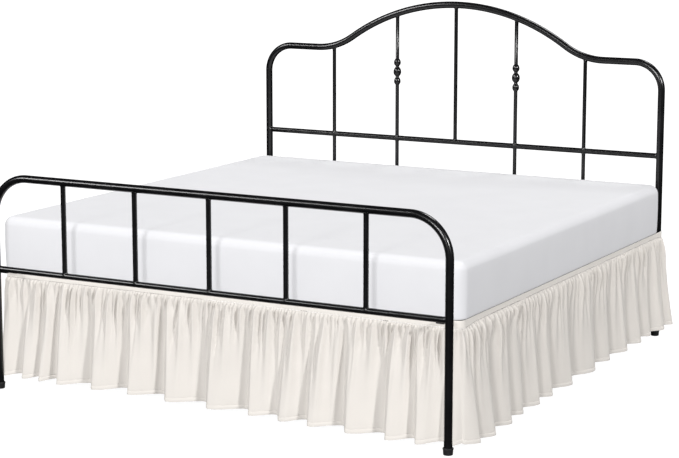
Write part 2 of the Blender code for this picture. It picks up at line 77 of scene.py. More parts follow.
# Bends of the tubes.
FOOTBOARD_BEND = 0.15
HEADBOARD_BEND = 0.12
SHOULDER_Z = 1.182  # axis of the headboard's level shoulders
CREST_RADIUS = 0.93  # the arched middle of the headboard
VALLEY_RADIUS = 0.318  # where the arch runs out into the shoulders
ARCH_SWING = math.acos(1 - (PEAK_Z - SHOULDER_Z) / (CREST_RADIUS + VALLEY_RADIUS))
ARCH_END_X = (CREST_RADIUS + VALLEY_RADIUS) * math.sin(ARCH_SWING)
TUBE_SIDES = 28  # of a tube or rod
BEND_STEPS = 24
RAIL_POINTS = 8  # along half of the footboard's level top
ARCH_POINTS = 40  # along half of the headboard's arch
SLOPE_STEP = 0.001  # for the arch's slope where a rod meets it
POST_RING = 0.5  # height of the ring that divides a post's straight length
TUBE_IN_CAP = 0.3  # share of the cap's height where the post's tube ends
FILLET_REACH = (0.0, 0.25, 0.7, 1.4, 2.6, 5.0)  # rings of a weld's fillet, in weld widths
# The turned beads on two spindles: height of the bead's middle, length, radius.
BEADS = ((1.044, 0.038, 0.0152), (1.0867, 0.046, 0.0178), (1.129, 0.038, 0.0158))
BEADED = ("headboard_spindle_2", "headboard_spindle_4")
SPINDLES = range(1, 6)
PLAIN_ROD = "headboard_spindle_3"  # a beaded rod is as thin as this one between its beads
BEAD_RINGS = 14
BEAD_FACETS = 8
BEAD_TWIST = 1.1  # radians that the facets turn along a bead
FACET_DEPTH = 0.05  # share of the radius that the facets take off
# A foot cap's outside from the floor up: how far it lies within the cap's widest part, height,
# share of the ribs cut there. Then its bore, which the post stands in.
CAP_ROWS = (
    (0.0045, 0.0, 0), (0.0030, 0.0006, 0), (0.0022, 0.0022, 1), (0.0012, 0.0190, 1),
    (0.0010, 0.0200, 0), (0.0, 0.0206, 0), (0.0, 0.0240, 0), (0.0008, 0.0250, 0),
)
CAP_TOP = 0.0250
BORE_FLOOR = 0.0100
BORE_CLEARANCE = 0.0004
CAP_RIBS = 20
RIB_DEPTH = 0.0005
CAP_SIDES = 120
LEG_RINGS = 8

BASE_CORNER = 0.025  # radius of the cloth's way round the base's corners at the foot
CORNER_STEPS = 10
FOOT_RUN = 1  # the ruffle's runs are the left side, the foot and the right side

# Main folds in order along the hem, the sides' from the foot to the head:
# width, depth, lean (how much further along the run the fold starts at the band).
FOOT_FOLDS = (
    (0.092, 0.030, 0.000), (0.089, 0.034, 0.006), (0.074, 0.036, 0.008),
    (0.151, 0.044, -0.014), (0.166, 0.048, -0.016), (0.158, 0.044, -0.016),
    (0.180, 0.050, -0.010), (0.187, 0.048, -0.018), (0.121, 0.036, -0.014),
    (0.121, 0.038, 0.012), (0.145, 0.046, -0.018), (0.166, 0.048, -0.016),
    (0.117, 0.042, -0.018), (0.112, 0.038, -0.020), (0.037, 0.010, -0.006),
)
SIDE_FOLDS = (
    (0.050, 0.030, 0.000), (0.150, 0.048, 0.006), (0.162, 0.048, 0.016),
    (0.103, 0.034, 0.020), (0.158, 0.046, 0.034), (0.120, 0.036, 0.030),
    (0.205, 0.048, 0.016), (0.268, 0.054, 0.020), (0.133, 0.036, 0.010),
    (0.186, 0.044, 0.014), (0.158, 0.042, 0.016), (0.085, 0.034, -0.006),
    (0.140, 0.042, 0.018), (0.073, 0.026, 0.008),
)
# A fold's main crest across its width, then its twin's offset from it at the band, as shares.
FOOT_CREST = (0.22, 0.38)
SIDE_CREST = (0.60, -0.30)
TWIN_MERGE = 0.65  # fraction of the drop where the twin crests have become one
TWIN_DIP = 0.55
LEAST_APART = 1e-4  # of the twin crests, so that nothing is divided by 0
CREST_SOFT = (0.002, 0.014)  # how far a crest is rounded to each side, at the foot and the sides
DEPTH_SOFT = 0.016  # how far the step in depth from fold to fold is rounded to each side
FOLD_GROWTH = 0.8  # a fold deepens with this power of the drop
SWAY = 0.005  # how far a fold's line wanders to the side on its way down
SWAY_TURN = (2.2, 2.4)  # radians of its wave over the whole drop, and from one fold to the next
HEM_DIP = (0.010, 0.004)  # how much lower the hem is on a crest than in a valley, foot and sides
SECTION_SOFT = 0.046  # how far flare and hem are rounded to each side
# How the ruffle stands out: place along the run, flare at the hem, height of the hem.
LEFT_SECTIONS = (
    (0.00, 0.064, 0.062), (0.14, 0.032, 0.054), (0.50, 0.028, 0.052), (0.85, 0.036, 0.052),
    (0.96, 0.054, 0.053), (1.00, 0.044, 0.054),
)
FOOT_SECTIONS = (
    (0.00, 0.044, 0.054), (0.06, 0.056, 0.056), (0.30, 0.054, 0.056), (0.50, 0.056, 0.046),
    (0.75, 0.062, 0.036), (0.92, 0.066, 0.029), (1.00, 0.044, 0.030),
)
RIGHT_SECTIONS = (
    (0.00, 0.044, 0.030), (0.03, 0.058, 0.029), (0.07, 0.047, 0.029), (0.15, 0.038, 0.034),
    (0.35, 0.029, 0.042), (0.60, 0.028, 0.046), (0.86, 0.031, 0.053), (1.00, 0.064, 0.066),
)
# The gathers' three ripples, each half as many as the one before: the share of the drop where
# it is deepest, its depth at the foot and at the sides against the foot's first one, and how far
# its middle lies in front of the band, as a share of its depth.
RIPPLES = ((0.030, 1.0, 0.8, 0.5), (0.100, 1.5, 2.1, 0.2), (0.200, 1.8, 1.3, 0.2))
RIPPLE_FADE = 1.5
RIPPLE_CREST = (0.35, 0.15)  # a ripple c becomes c + 0.35 c^2 - 0.15, sharper on its crests
# Uneven curves: amount, distance between the knots, seed. A ripple's three change its place, phase
# and depth, and their distances are in its own pitches.
RIPPLE_UNEVEN = ((0.5, 1.3, 11), (0.9, 2.1, 21), (0.4, 1.7, 31))
PITCH_UNEVEN = ((0.35, 0.05, 3), (0.15, 0.017, 4))
PANEL_UNEVEN = ((1.0, 0.055, 51), (0.6, 0.031, 52))
PANEL_WAVE = 0.003  # height of the slight waves on the panels between the folds
MIN_STAND = 0.0012  # least distance of the cloth in front of the band
SOFT_LIMIT = 0.002  # width of the rounded corner where that distance takes over
CLOTH_CLEARANCE = 0.002
SEWN_GAP = 0.0003
EDGE_RISE = 0.009  # the gathered edge is drawn up along the sides by this much
RISE_LENGTH = 0.16  # and rises over this length next to each corner
POST_FADE = 0.05  # the band is plain again this far before the headboard
# Rows of the ruffle above the hem, as shares of the drop, and rows of the hem, as heights over
# its edge with how far the doubled cloth stands out there.
DROP_ROWS = (
    0.0, 0.012, 0.030, 0.052, 0.080, 0.115, 0.16, 0.215, 0.28, 0.36, 0.45, 0.55, 0.66, 0.78, 0.89,
)
HEM_ROWS = (
    (0.0172, 0.0), (0.0153, -0.0003), (0.0148, -0.0006), (0.0142, 0.0002), (0.008, 0.0007),
    (0.0014, 0.0006), (0.0, 0.0),
)
HEM_HEIGHT = 0.0145  # the doubled cloth, and the row of stitches just over its inner edge
HEM_STITCHES = (0.0148,)

# The band's section up its front and down its back: share of its height, and of its half
# thickness, positive in front.
BAND_SECTION = (
    (0.0, 0.3), (0.03, 0.85), (0.10, 1.0), (0.22, 1.0), (0.38, 1.0), (0.56, 1.0), (0.76, 1.0),
    (0.93, 0.8), (1.0, 0.2), (1.0, -0.8), (0.6, -1.0), (0.25, -1.0), (0.0, -0.8),
)
BAND_CLEARANCE = 0.0003  # to the posts and rails behind it
BAND_FILL = 0.94  # share of its solid's thickness that the band takes
BAND_STITCHES = (0.0035, 0.0245)
BAND_PAINTED_LIGHT = 1.17  # painted light: the band's colour is this much lighter than the ruffle's, to lift the shade that the mattress's overhang casts on it
PUCKER_PITCH_UNEVEN = (0.3, 0.045, 41)
PUCKER_MEAN = 0.7
PUCKER_UNEVEN = (0.5, 0.03, 42)
PUCKER_WAVE = (0.48, 0.02, 43)
PUCKER_FADE = 1.5  # the puckers fade with this power of the height left above
DRAWN_UP = (0.05, 0.9)  # share of the height that is drawn up, and by how many pucker depths

# Mattress: rings of its lower edge, sides and upper edge, points of a corner and of a side, and
# the rings of its top and underside as shares of their rim.
EDGE_RINGS = (9, 10, 13)
CORNER_POINTS = 14
SIDE_POINTS = 26
FACE_RINGS = np.array([0.02, *np.linspace(0.1, 0.9, 9), 0.97])
BELLY_POWER = 0.7
ON_TOP = 0.1  # share of the height, down from the top, that the crown lifts
LEAST_CORNER = 0.004

FLOOR_RINGS = 12
FLOOR_SIDES = 64
FLOOR_DROP = 0.0002  # the floor lies this far under the caps

CAMERA_PLACE = (3.886, -7.195, 2.000)
CAMERA_YAW = 28.49
CAMERA_PITCH = 10.05
PHOTO_WIDTH = 679
FOCAL_PIXELS = 2043.0
SENSOR_WIDTH = 36.0
VIEW_REACH = 500.0

# Real sizes in the finishes.
THREAD_PITCH = 0.0009
STITCH = (0.0032, 0.0012, 0.0009)  # length of a stitch, gap to the next one, width of the row
GROOVE = 0.0022  # half the width of the groove that a row of stitches lies in
HEM_BLUR = 0.0006
LOOP_PITCH = 0.0014
CLOTH_RELIEF = 0.00012
PEEL_RELIEF = 0.00010
GRAIN_RELIEF = 0.00008

SUN_HEIGHT = 5.0
# The distant lights: name, azimuth (0 in front of the foot, 90 on the bed's right), elevation and
# softness in degrees, strength against the key.
SUNS = (
    ("front light", -2.0, 14.0, 12.0, 0.56), ("fold light", -43.0, 26.0, 16.0, 0.92),
    ("corner light", 12.0, 18.0, 8.0, 0.80), ("side light", 68.0, 22.0, 6.0, 1.55),
    ("back light", 170.0, 60.0, 20.0, 0.86),
)


# ---------------------------------------------------------------------------------------------
# Finishes

class Value:
    """An output socket of a finish; arithmetic on it adds Math nodes."""

    def __init__(self, finish, socket):
        self.finish = finish
        self.socket = socket

    def math(self, operation, *numbers):
        """Add one Math node."""
        inputs = dict(enumerate(numbers))
        return self.finish.node("ShaderNodeMath", {"operation": operation}, inputs)

    def __add__(self, other):
        return self.math("ADD", self, other)

    __radd__ = __add__

    def __sub__(self, other):
        return self.math("SUBTRACT", self, other)

    def __rsub__(self, other):
        return self.math("SUBTRACT", other, self)

    def __mul__(self, other):
        return self.math("MULTIPLY", self, other)

    __rmul__ = __mul__

    def __truediv__(self, other):
        return self.math("DIVIDE", self, other)

    def __abs__(self):
        return self.math("ABSOLUTE", self)

    def sin(self):
        return self.math("SINE", self)

    def wrap(self):
        """The fraction after the point."""
        return self.math("FRACT", self)

    def below(self, limit):
        """1 where the value is less than a limit, else 0."""
        return self.math("LESS_THAN", self, limit)

    def step(self, start, end):
        """Rise smoothly from 0 to 1 between two values."""
        settings = {"interpolation_type": "SMOOTHSTEP"}
        return self.finish.node("ShaderNodeMapRange", settings, {0: self, 1: start, 2: end})


class Finish:
    """A Principled material whose nodes are added by expressions."""

    def __init__(self, name):
        self.material = bpy.data.materials.new(name)
        self.material.use_nodes = True
        self.tree = self.material.node_tree
        self.shader = self.tree.nodes["Principled BSDF"]

    def node(self, kind, settings=None, inputs=None, output=0):
        """Add a node: its settings first, then the values or links of its sockets."""
        made = self.tree.nodes.new(kind)
        for key, value in (settings or {}).items():
            setattr(made, key, value)
        for key, value in (inputs or {}).items():
            if isinstance(value, Value):
                self.tree.links.new(value.socket, made.inputs[key])
            else:
                made.inputs[key].default_value = value
        return Value(self, made.outputs[output])

    def set(self, **values):
        """Give the shader's sockets numbers, colours or links, by their names."""
        for key, value in values.items():
            socket = self.shader.inputs[key.replace("_", " ")]
            if isinstance(value, Value):
                self.tree.links.new(value.socket, socket)
            else:
                socket.default_value = value

    def place(self):
        """The point in the object's own space, in metres."""
        return self.node("ShaderNodeTexCoord", output="Object")

    def noise(self, at, scale, detail=2.0, roughness=0.5):
        """Cloudy values from 0 to 1."""
        inputs = {"Vector": at, "Scale": scale, "Detail": detail, "Roughness": roughness}
        return self.node("ShaderNodeTexNoise", inputs=inputs)

    def stretch(self, at, factors):
        """Scale a place along its axes."""
        return self.node("ShaderNodeMapping", inputs={"Vector": at, "Scale": factors})

    def split(self, at):
        """The three parts of a vector."""
        parts = self.tree.nodes.new("ShaderNodeSeparateXYZ")
        self.tree.links.new(at.socket, parts.inputs[0])
        return [Value(self, socket) for socket in parts.outputs]

    def mix(self, factor, first, second):
        """Blend two colours."""
        settings = {"data_type": "RGBA"}
        inputs = {"Factor": factor, 6: solid(first), 7: solid(second)}
        return self.node("ShaderNodeMix", settings, inputs, output=2)

    def bump(self, height, distance, strength):
        """Turn a height into a normal; distance is the real depth in metres."""
        inputs = {"Height": height, "Distance": distance, "Strength": strength}
        return self.node("ShaderNodeBump", inputs=inputs)


def solid(color):
    """A colour with its alpha, or a link as it is."""
    return color if isinstance(color, Value) else (*color[:3], 1.0)


def shade(color, factor):
    """A darker or lighter colour, worked out in numbers."""
    return tuple(min(1.0, part * factor) for part in color[:3])


def cloth_uv(finish):
    """The cloth's own coordinates in metres: along the cloth and up from its lower edge."""
    return finish.node("ShaderNodeUVMap", {"uv_map": "cloth"})


def total(values):
    """The sum of some values."""
    return sum(values[1:], values[0])


def stitch_line(along, up, height):
    """1 on the threads of a straight row of stitches at one height of the cloth, else 0."""
    length, gap, width = STITCH
    on_row = abs(up - height).below(width / 2)
    on_thread = (along / (length + gap)).wrap().below(length / (length + gap))
    return on_row * on_thread


def make_microfibre(color, stitch_heights, edge_height=0.0):
    """Brushed ivory microfibre: a fine plain weave, soft nap, faint slubs and sewn rows.

    The height is sin(along) * sin(up) at the thread's pitch plus noise, so threads cross. Rows
    of stitches lie in a soft groove, whose colour is darkened a little as painted shade; the
    folded hem below edge_height is a shade denser.
    """
    finish = Finish("ivory microfibre")
    cloth = cloth_uv(finish)
    along, up, _ = finish.split(cloth)
    thread = 2 * math.pi / THREAD_PITCH
    weave = (along * thread).sin() * (up * thread).sin() * 0.5 + 0.5
    nap = finish.noise(cloth, 900.0, 3.0, 0.6)
    slub = finish.noise(finish.stretch(cloth, (90.0, 700.0, 1.0)), 1.0, 2.0)
    cloud = finish.noise(cloth, 9.0, 2.0)
    tone = (cloud * 0.6 + slub * 0.4).step(0.2, 0.8)
    base = finish.mix(tone, shade(color, 0.965), shade(color, 1.02))
    rows = total([stitch_line(along, up, height) for height in stitch_heights])
    groove = total([1 - abs(up - height).step(0.0, GROOVE) for height in stitch_heights])
    # Painted shade: the colour darkens a little inside the stitch groove.
    base = finish.mix(groove * 0.10, base, shade(color, 0.80))
    base = finish.mix(rows * 0.6, base, shade(color, 1.08))
    if edge_height:
        hem = 1 - up.step(edge_height - HEM_BLUR, edge_height + HEM_BLUR)
        base = finish.mix(hem * 0.25, base, shade(color, 1.035))
    height = weave * 0.35 + nap * 0.45 + slub * 0.5 - groove * 2.0 + rows * 1.6
    finish.set(Base_Color=base, Roughness=0.88 + nap * 0.08)
    finish.set(Normal=finish.bump(height, CLOTH_RELIEF, 0.55))
    finish.set(Sheen_Weight=0.25, Sheen_Roughness=0.45, Specular_IOR_Level=0.25)
    return finish.material


def make_mattress_cover(color):
    """White knitted cover: fine loops in columns, slightly mottled, matt."""
    finish = Finish("white mattress cover")
    at = finish.place()
    x, y, z = finish.split(at)
    loops = 2 * math.pi / LOOP_PITCH
    knit = ((x + z * 0.5) * loops).sin() * ((y + z * 0.5) * loops).sin() * 0.5 + 0.5
    mottle = finish.noise(at, 7.0, 3.0)
    fuzz = finish.noise(at, 650.0, 2.0)
    base = finish.mix(mottle.step(0.25, 0.75), shade(color, 0.985), shade(color, 1.01))
    height = knit * 0.5 + fuzz * 0.5
    finish.set(Base_Color=base, Roughness=0.90 + fuzz * 0.06)
    finish.set(Normal=finish.bump(height, CLOTH_RELIEF, 0.5))
    finish.set(Sheen_Weight=0.15, Specular_IOR_Level=0.25)
    return finish.material


def make_powder_coat(color, roughness):
    """Black powder coat: orange-peel skin, its black a little uneven, and faint rubbed spots."""
    finish = Finish("black powder coat")
    at = finish.place()
    peel = finish.noise(at, 420.0, 2.0)
    smear = finish.noise(at, 14.0, 4.0)
    rubbed = finish.noise(at, 55.0, 5.0, 0.65).step(0.66, 0.80)
    base = finish.mix(smear.step(0.35, 0.75), shade(color, 0.8), shade(color, 1.5))
    base = finish.mix(rubbed * 0.15, base, (0.03, 0.03, 0.032))
    finish.set(Base_Color=base, Roughness=roughness - 0.03 + smear * 0.06 + rubbed * 0.04)
    finish.set(Normal=finish.bump(peel, PEEL_RELIEF, 0.04), Specular_IOR_Level=0.5)
    return finish.material


def make_cap_plastic(color):
    """Black moulded plastic: a matt grain, paler in scattered scuffed spots."""
    finish = Finish("black moulded plastic")
    at = finish.place()
    grain = finish.noise(at, 1600.0, 2.0)
    scuff = finish.noise(at, 130.0, 4.0).step(0.55, 0.75)
    base = finish.mix(scuff * 0.4, color, shade(color, 2.4))
    finish.set(Base_Color=base, Roughness=0.46 + scuff * 0.14)
    finish.set(Normal=finish.bump(grain, GRAIN_RELIEF, 0.5), IOR=1.5)
    return finish.material


def make_floor_paint(color, glow):
    """Pale seamless floor with a trace of tone."""
    finish = Finish("pale floor")
    cloud = finish.noise(finish.place(), 0.8, 2.0)
    base = finish.mix(cloud.step(0.3, 0.7), shade(color, 0.995), color)
    finish.set(Base_Color=base, Roughness=0.85, Specular_IOR_Level=0.1)
    finish.set(Emission_Color=(1.0, 1.0, 1.0, 1.0), Emission_Strength=glow)
    return finish.material


# ---------------------------------------------------------------------------------------------
# Meshes

def grid_quads(rows, columns, around):
    """Faces of a grid of points; with around, the last column joins the first."""
    row = np.arange(rows - 1)[:, None] * columns
    column = np.arange(columns if around else columns - 1)[None, :]
    after = (column + 1) % columns
    low, high = row + column, row + after
    faces = np.stack([low, high, high + columns, low + columns], axis=-1)
    return faces.reshape(-1, 4)


def signed_volume(points, faces):
    """Six times the volume that quads enclose: its sign tells which way they face."""
    a, b, c, d = (points[faces[:, corner]] for corner in range(4))
    return float(np.einsum("ij,ij->", a, np.cross(b, c)) + np.einsum("ij,ij->", a, np.cross(c, d)))


def box_middle(node):
    """The middle of a solid's box and half its sizes."""
    low, high = (np.array(corner, dtype=float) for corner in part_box(node))
    return (low + high) / 2, (high - low) / 2


def add_mesh(name, points, faces, finish):
    """Make an object of points and faces, and stop if a point isn't a number."""
    if not np.isfinite(points).all():
        raise ValueError(f"{name} has points that aren't numbers")
    mesh = bpy.data.meshes.new(name)
    mesh.from_pydata(points.reshape(-1, 3), [], [list(face) for face in faces])
    mesh.materials.append(finish)
    thing = bpy.data.objects.new(name, mesh)
    bpy.context.scene.collection.objects.link(thing)
    return thing


def add_piece(name, points, faces, finish, replaces, uv=None, sharp=40.0):
    """Make a smooth piece that rides on the bed; uv has a row for each point."""
    thing = add_mesh(name, points, faces, finish)
    mesh = thing.data
    mesh.shade_smooth()
    if sharp:
        mesh.set_sharp_from_angle(angle=math.radians(sharp))
    if uv is not None:
        corners = np.empty(len(mesh.loops), np.int32)
        mesh.loops.foreach_get("vertex_index", corners)
        layer = mesh.uv_layers.new(name="cloth")
        layer.data.foreach_set("uv", uv.reshape(-1, 2)[corners].astype(np.float32).ravel())
    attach(thing, BODY)
    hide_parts(*replaces)
    return thing


def add_tube(name, rings, finish, replaces, sharp=40.0):
    """Skin rings of points (ring, side, xyz) and cap both ends, faces outwards."""
    count, sides = rings.shape[:2]
    points = rings.reshape(-1, 3)
    quads = grid_quads(count, sides, around=True)
    centred = points - points.mean(axis=0)
    if signed_volume(centred, quads) < 0:
        quads = quads[:, ::-1]
        ends = [np.arange(sides), np.arange(sides)[::-1] + (count - 1) * sides]
    else:
        ends = [np.arange(sides)[::-1], np.arange(sides) + (count - 1) * sides]
    return add_piece(name, points, list(quads) + ends, finish, replaces, sharp=sharp)


def turns(sides):
    """Even angles once round a circle."""
    return np.linspace(0.0, 2 * np.pi, sides, endpoint=False)


def circle(sides):
    """Cosine and sine round a circle."""
    return np.cos(turns(sides)), np.sin(turns(sides))


def arc(centre, radius, start, end, steps):
    """Points on an arc in a plane, angles in degrees, both ends included."""
    angles = np.radians(np.linspace(start, end, steps + 1))
    return np.stack([centre[0] + radius * np.cos(angles), centre[1] + radius * np.sin(angles)], 1)


def bent_tube(path, radius, y):
    """Rings round a path of (x, z) points in an upright plane.

    Each ring is the path's point plus radius * (cos a * inward normal + sin a * Y).
    """
    tangents = np.gradient(path, axis=0)
    tangents /= np.linalg.norm(tangents, axis=1)[:, None]
    cosine, sine = circle(TUBE_SIDES)
    x = path[:, :1] - tangents[:, 1:] * radius * cosine
    z = path[:, 1:] + tangents[:, :1] * radius * cosine
    return np.stack([x, np.broadcast_to(y + radius * sine, x.shape), z], axis=-1)


def hoop_path(top, level, bend):
    """A hoop's path: half its top from the middle, a bend down from level, a post, and mirrored."""
    corner = arc((HALF_SPACING - bend, level - bend), bend, 90, 0, BEND_STEPS)
    post = [[HALF_SPACING, POST_RING], [HALF_SPACING, CAP_HEIGHT * TUBE_IN_CAP]]
    right = np.vstack([top, corner, post])
    return np.vstack([right[::-1] * (-1.0, 1.0), right[1:]])


def headboard_height(x):
    """Height of the headboard tube's axis: an arc over the middle, valley arcs, level ends."""
    across = np.abs(x)
    turn = CREST_RADIUS * math.sin(ARCH_SWING)
    crest = PEAK_Z - CREST_RADIUS + np.sqrt(CREST_RADIUS**2 - np.minimum(across, turn) ** 2)
    run_out = np.clip(ARCH_END_X - across, 0.0, VALLEY_RADIUS)
    valley = SHOULDER_Z + VALLEY_RADIUS - np.sqrt(VALLEY_RADIUS**2 - run_out**2)
    return np.where(across < turn, crest, valley)


def saddle(radius, tube, side):
    """How far short of a tube's axis a rod's wall ends where it meets the tube."""
    return np.sqrt(np.maximum(tube**2 - (radius * side) ** 2, 0.0))


def coped_rod(start, end, radius, tubes, weld, along_x, slope=0.0, middle=()):
    """Rings of a straight rod whose ends are cut to fit round the tubes that they meet.

    start and end are points on the tubes' axes. A ring at distance d from an end has radius
    r + weld * exp(-d / weld), which gives the weld's small fillet; its points stop short of the
    tube's axis by sqrt(R^2 - (r sin a)^2). The end is sheared by the slope of the tube there, and
    middle holds rows of (place, radius) between the two ends.
    """
    cosine, sine = circle(TUBE_SIDES)
    reach = np.array(FILLET_REACH) * weld
    wides = radius + weld * np.exp(-reach / weld)
    axis = 0 if along_x else 2
    length = end[axis] - start[axis]
    rows = [(distance + saddle(wide, tubes[0], sine), wide) for distance, wide in zip(reach, wides)]
    rows += [(place - start[axis] + 0 * sine, wide) for place, wide in middle]
    for distance, wide in zip(reach[::-1], wides[::-1]):
        short = distance + saddle(wide, tubes[1], sine)
        rows.append((length - short + slope * wide * cosine, wide))
    along = np.array([row[0] for row in rows])
    wide = np.array([np.broadcast_to(row[1], sine.shape) for row in rows])
    rings = np.empty((len(rows), TUBE_SIDES, 3))
    rings[..., axis] = start[axis] + along
    rings[..., 2 - axis] = start[2 - axis] + wide * cosine
    rings[..., 1] = start[1] + wide * sine
    return rings


def bead_rows():
    """Height and radius round the rod of the rings over its three turned beads.

    A bead's radius is R sin t between the two t where it meets the rod, and its facets take off
    a share of |sin(4 a + twist)| that swells with the bead.
    """
    angle = turns(TUBE_SIDES)
    rod = box_middle(PLAIN_ROD)[1][0]
    rows = []
    for middle, length, radius in BEADS:
        start = math.asin(rod / radius)
        for turn in np.linspace(start, math.pi - start, BEAD_RINGS):
            swell = (radius * math.sin(turn) - rod) / (radius - rod)
            facet = np.abs(np.sin(BEAD_FACETS / 2 * angle + BEAD_TWIST * turn))
            wide = radius * math.sin(turn) * (1 - FACET_DEPTH * swell * facet)
            rows.append((middle - length / 2 * math.cos(turn), wide))
    return rows


def turned_rings(x, y, profile, ribs=0, rib_depth=0.0, sides=48):
    """Rings of a turned shape; rows of (radius, z, share of the ribs cut there).

    The grooves between the ribs are cut as (1 - cos(ribs a)) / 2.
    """
    angle = turns(sides)
    radius, z, share = (part[:, None] for part in np.array(profile).T)
    cut = radius - share * rib_depth * (0.5 - 0.5 * np.cos(ribs * angle))
    level = np.broadcast_to(z, cut.shape)
    return np.stack([x + cut * np.cos(angle), y + cut * np.sin(angle), level], axis=-1)


# ---------------------------------------------------------------------------------------------
# The skirt's cloth

def cloth_shell(front, uv, thickness):
    """Close a sheet of points (row, column, xyz) into cloth of a thickness.

    The inner face is every second row and column of the outer one, moved in
    along the sheet's normal; strips of faces join the two along the four edges.
    """
    down = np.gradient(front, axis=0)
    across = np.gradient(front, axis=1)
    normals = np.cross(down, across)
    normals /= np.linalg.norm(normals, axis=2)[..., None] + TINY
    rows, columns = front.shape[:2]
    kept_rows = np.array(sorted(set(range(0, rows, 2)) | {rows - 1}))
    kept_columns = np.arange(0, columns, 2)
    back = (front - normals * thickness)[kept_rows][:, kept_columns]
    outer = np.arange(rows * columns).reshape(rows, columns)
    inner = rows * columns + np.arange(back.shape[0] * back.shape[1]).reshape(back.shape[:2])
    faces = list(grid_quads(rows, columns, around=False))
    faces += list(grid_quads(*back.shape[:2], around=False)[:, ::-1] + rows * columns)
    for outer_row, inner_row, turned in ((outer[0], inner[0], False), (outer[-1], inner[-1], True)):
        rim = (outer_row[2::2], outer_row[1::2], outer_row[:-1:2], inner_row[:-1], inner_row[1:])
        strip = np.stack(rim, axis=1)
        faces += list(strip[:, ::-1] if turned else strip)
    for column, turned in ((0, False), (-1, True)):
        for step, (first, last) in enumerate(zip(kept_rows[:-1], kept_rows[1:])):
            rim = [*outer[first:last + 1, column], inner[step + 1, column], inner[step, column]]
            faces.append(rim[::-1] if turned else rim)
    points = np.concatenate([front.reshape(-1, 3), back.reshape(-1, 3)])
    uvs = np.concatenate([uv.reshape(-1, 2), uv[kept_rows][:, kept_columns].reshape(-1, 2)])
    if signed_volume(points, np.array(faces[:(rows - 1) * (columns - 1)])) < 0:
        faces = [list(face)[::-1] for face in faces]
    return points, faces, uvs


def smooth(share):
    """The curve 3t^2 - 2t^3 from 0 to 1."""
    return share * share * (3 - 2 * share)


def uneven(along, amount, spacing, seed):
    """A seeded random curve from -amount to amount whose knots lie spacing apart."""
    cell = along / spacing
    index = np.floor(cell).astype(int)
    knots = np.random.default_rng(seed).uniform(-1, 1, int(index.max()) + 2)
    share = smooth(cell - index)
    return amount * (knots[index] * (1 - share) + knots[index + 1] * share)


def foot_corner_path(standoff):
    """Plan line that keeps off the base: from the foot's middle round the right corner."""
    centre = (BASE_HALF_WIDTH - BASE_CORNER, BASE_FOOT_Y + BASE_CORNER)
    corner = arc(centre, BASE_CORNER + standoff, -90, 0, CORNER_STEPS)
    return np.vstack([[0.0, BASE_FOOT_Y - standoff], corner])


def along_path(corners, spacing, closed=False):
    """Even steps along a plan line: distances, points and outward normals."""
    if closed:
        corners = np.vstack([corners, corners[:1]])
    steps = np.linalg.norm(np.diff(corners, axis=0), axis=1)
    lengths = np.concatenate([[0.0], np.cumsum(steps)])
    count = 2 * int(round(lengths[-1] / spacing / 2)) + 1
    along = np.linspace(0.0, lengths[-1], count)
    plan = np.stack([np.interp(along, lengths, corners[:, axis]) for axis in (0, 1)], axis=1)
    tangents = np.gradient(plan, axis=0)
    if closed:
        tangents[0] = tangents[-1] = plan[1] - plan[-2]
    tangents /= np.linalg.norm(tangents, axis=1)[:, None]
    normals = np.stack([tangents[:, 1], -tangents[:, 0]], axis=1)
    return along, plan, normals


def fold_profile(within, crest, drop):
    """Height across a fold: 0 in its valleys, 1 on its crests.

    It rises to the first crest and falls from the last one in halves of a cosine, with a dip
    of sin^2 between the two, which close up as the drop grows.
    """
    apart = np.clip(1 - drop / TWIN_MERGE, 0.0, 1.0)
    one, two = crest[0], crest[0] + crest[1] * apart
    first, last = np.minimum(one, two), np.maximum(one, two)
    rise = 0.5 - 0.5 * np.cos(np.pi * np.clip(within / first, 0.0, 1.0))
    fall = 0.5 + 0.5 * np.cos(np.pi * np.clip((within - last) / (1 - last), 0.0, 1.0))
    between = np.clip((within - first) / np.maximum(last - first, LEAST_APART), 0.0, 1.0)
    return np.minimum(rise, fall) - TWIN_DIP * apart * np.sin(np.pi * between) ** 2


def run_folds(place, folds, crest, drop):
    """Fold profile and depth at places 0 to 1 along one run, at each row's drop.

    The folds' edges move by their lean as the drop shrinks, and their lines sway as a sine.
    """
    width, depth, lean = np.array(folds).T
    edges = np.concatenate([[0.0], np.cumsum(width)])
    length = edges[-1]
    profile = np.empty(drop.shape)
    deep = np.empty(drop.shape)
    for row in range(len(drop)):
        share = float(drop[row].mean())
        here = edges.copy()
        here[:-1] += lean * (1 - share)
        here /= length
        index = np.clip(np.searchsorted(here, place, side="right") - 1, 0, len(folds) - 1)
        within = (place - here[index]) / (here[index + 1] - here[index])
        wander = SWAY / width[index] * np.sin(SWAY_TURN[0] * share + SWAY_TURN[1] * index)
        within = np.clip(within + wander * np.sin(np.pi * within), 0.0, 1.0)
        profile[row] = fold_profile(within, crest, drop[row])
        deep[row] = depth[index]
    return profile, deep


def mirrored_run(folds, crest):
    """The same folds met from the other end."""
    width, depth, lean = np.array(folds).T
    starts = np.append(lean[1:], 0.0)
    rows = np.stack([width, depth, -starts], axis=1)[::-1]
    return rows, (1 - crest[0], -crest[1])


def soften(values, reach):
    """Round off the kinks of values along the last axis with a moving average."""
    kernel = np.ones(2 * reach + 1) / (2 * reach + 1)
    padding = [(0, 0)] * (values.ndim - 1) + [(reach, reach)]
    padded = np.pad(values, padding, mode="edge")
    return np.apply_along_axis(np.convolve, -1, padded, kernel, mode="valid")


def edge_rise(plan):
    """How far the gathered edge lies above its level at the foot.

    It rises smoothly from the foot's corner on, and falls to nothing at the headboard.
    """
    risen = smooth(np.clip((plan[:, 1] - BASE_FOOT_Y) / RISE_LENGTH, 0.0, 1.0))
    return EDGE_RISE * risen * before_posts(plan)


def before_posts(plan):
    """1 where the ruffle hangs, falling to 0 at the headboard's posts."""
    return np.clip((HEADBOARD_Y - plan[:, 1]) / POST_FADE, 0.0, 1.0)


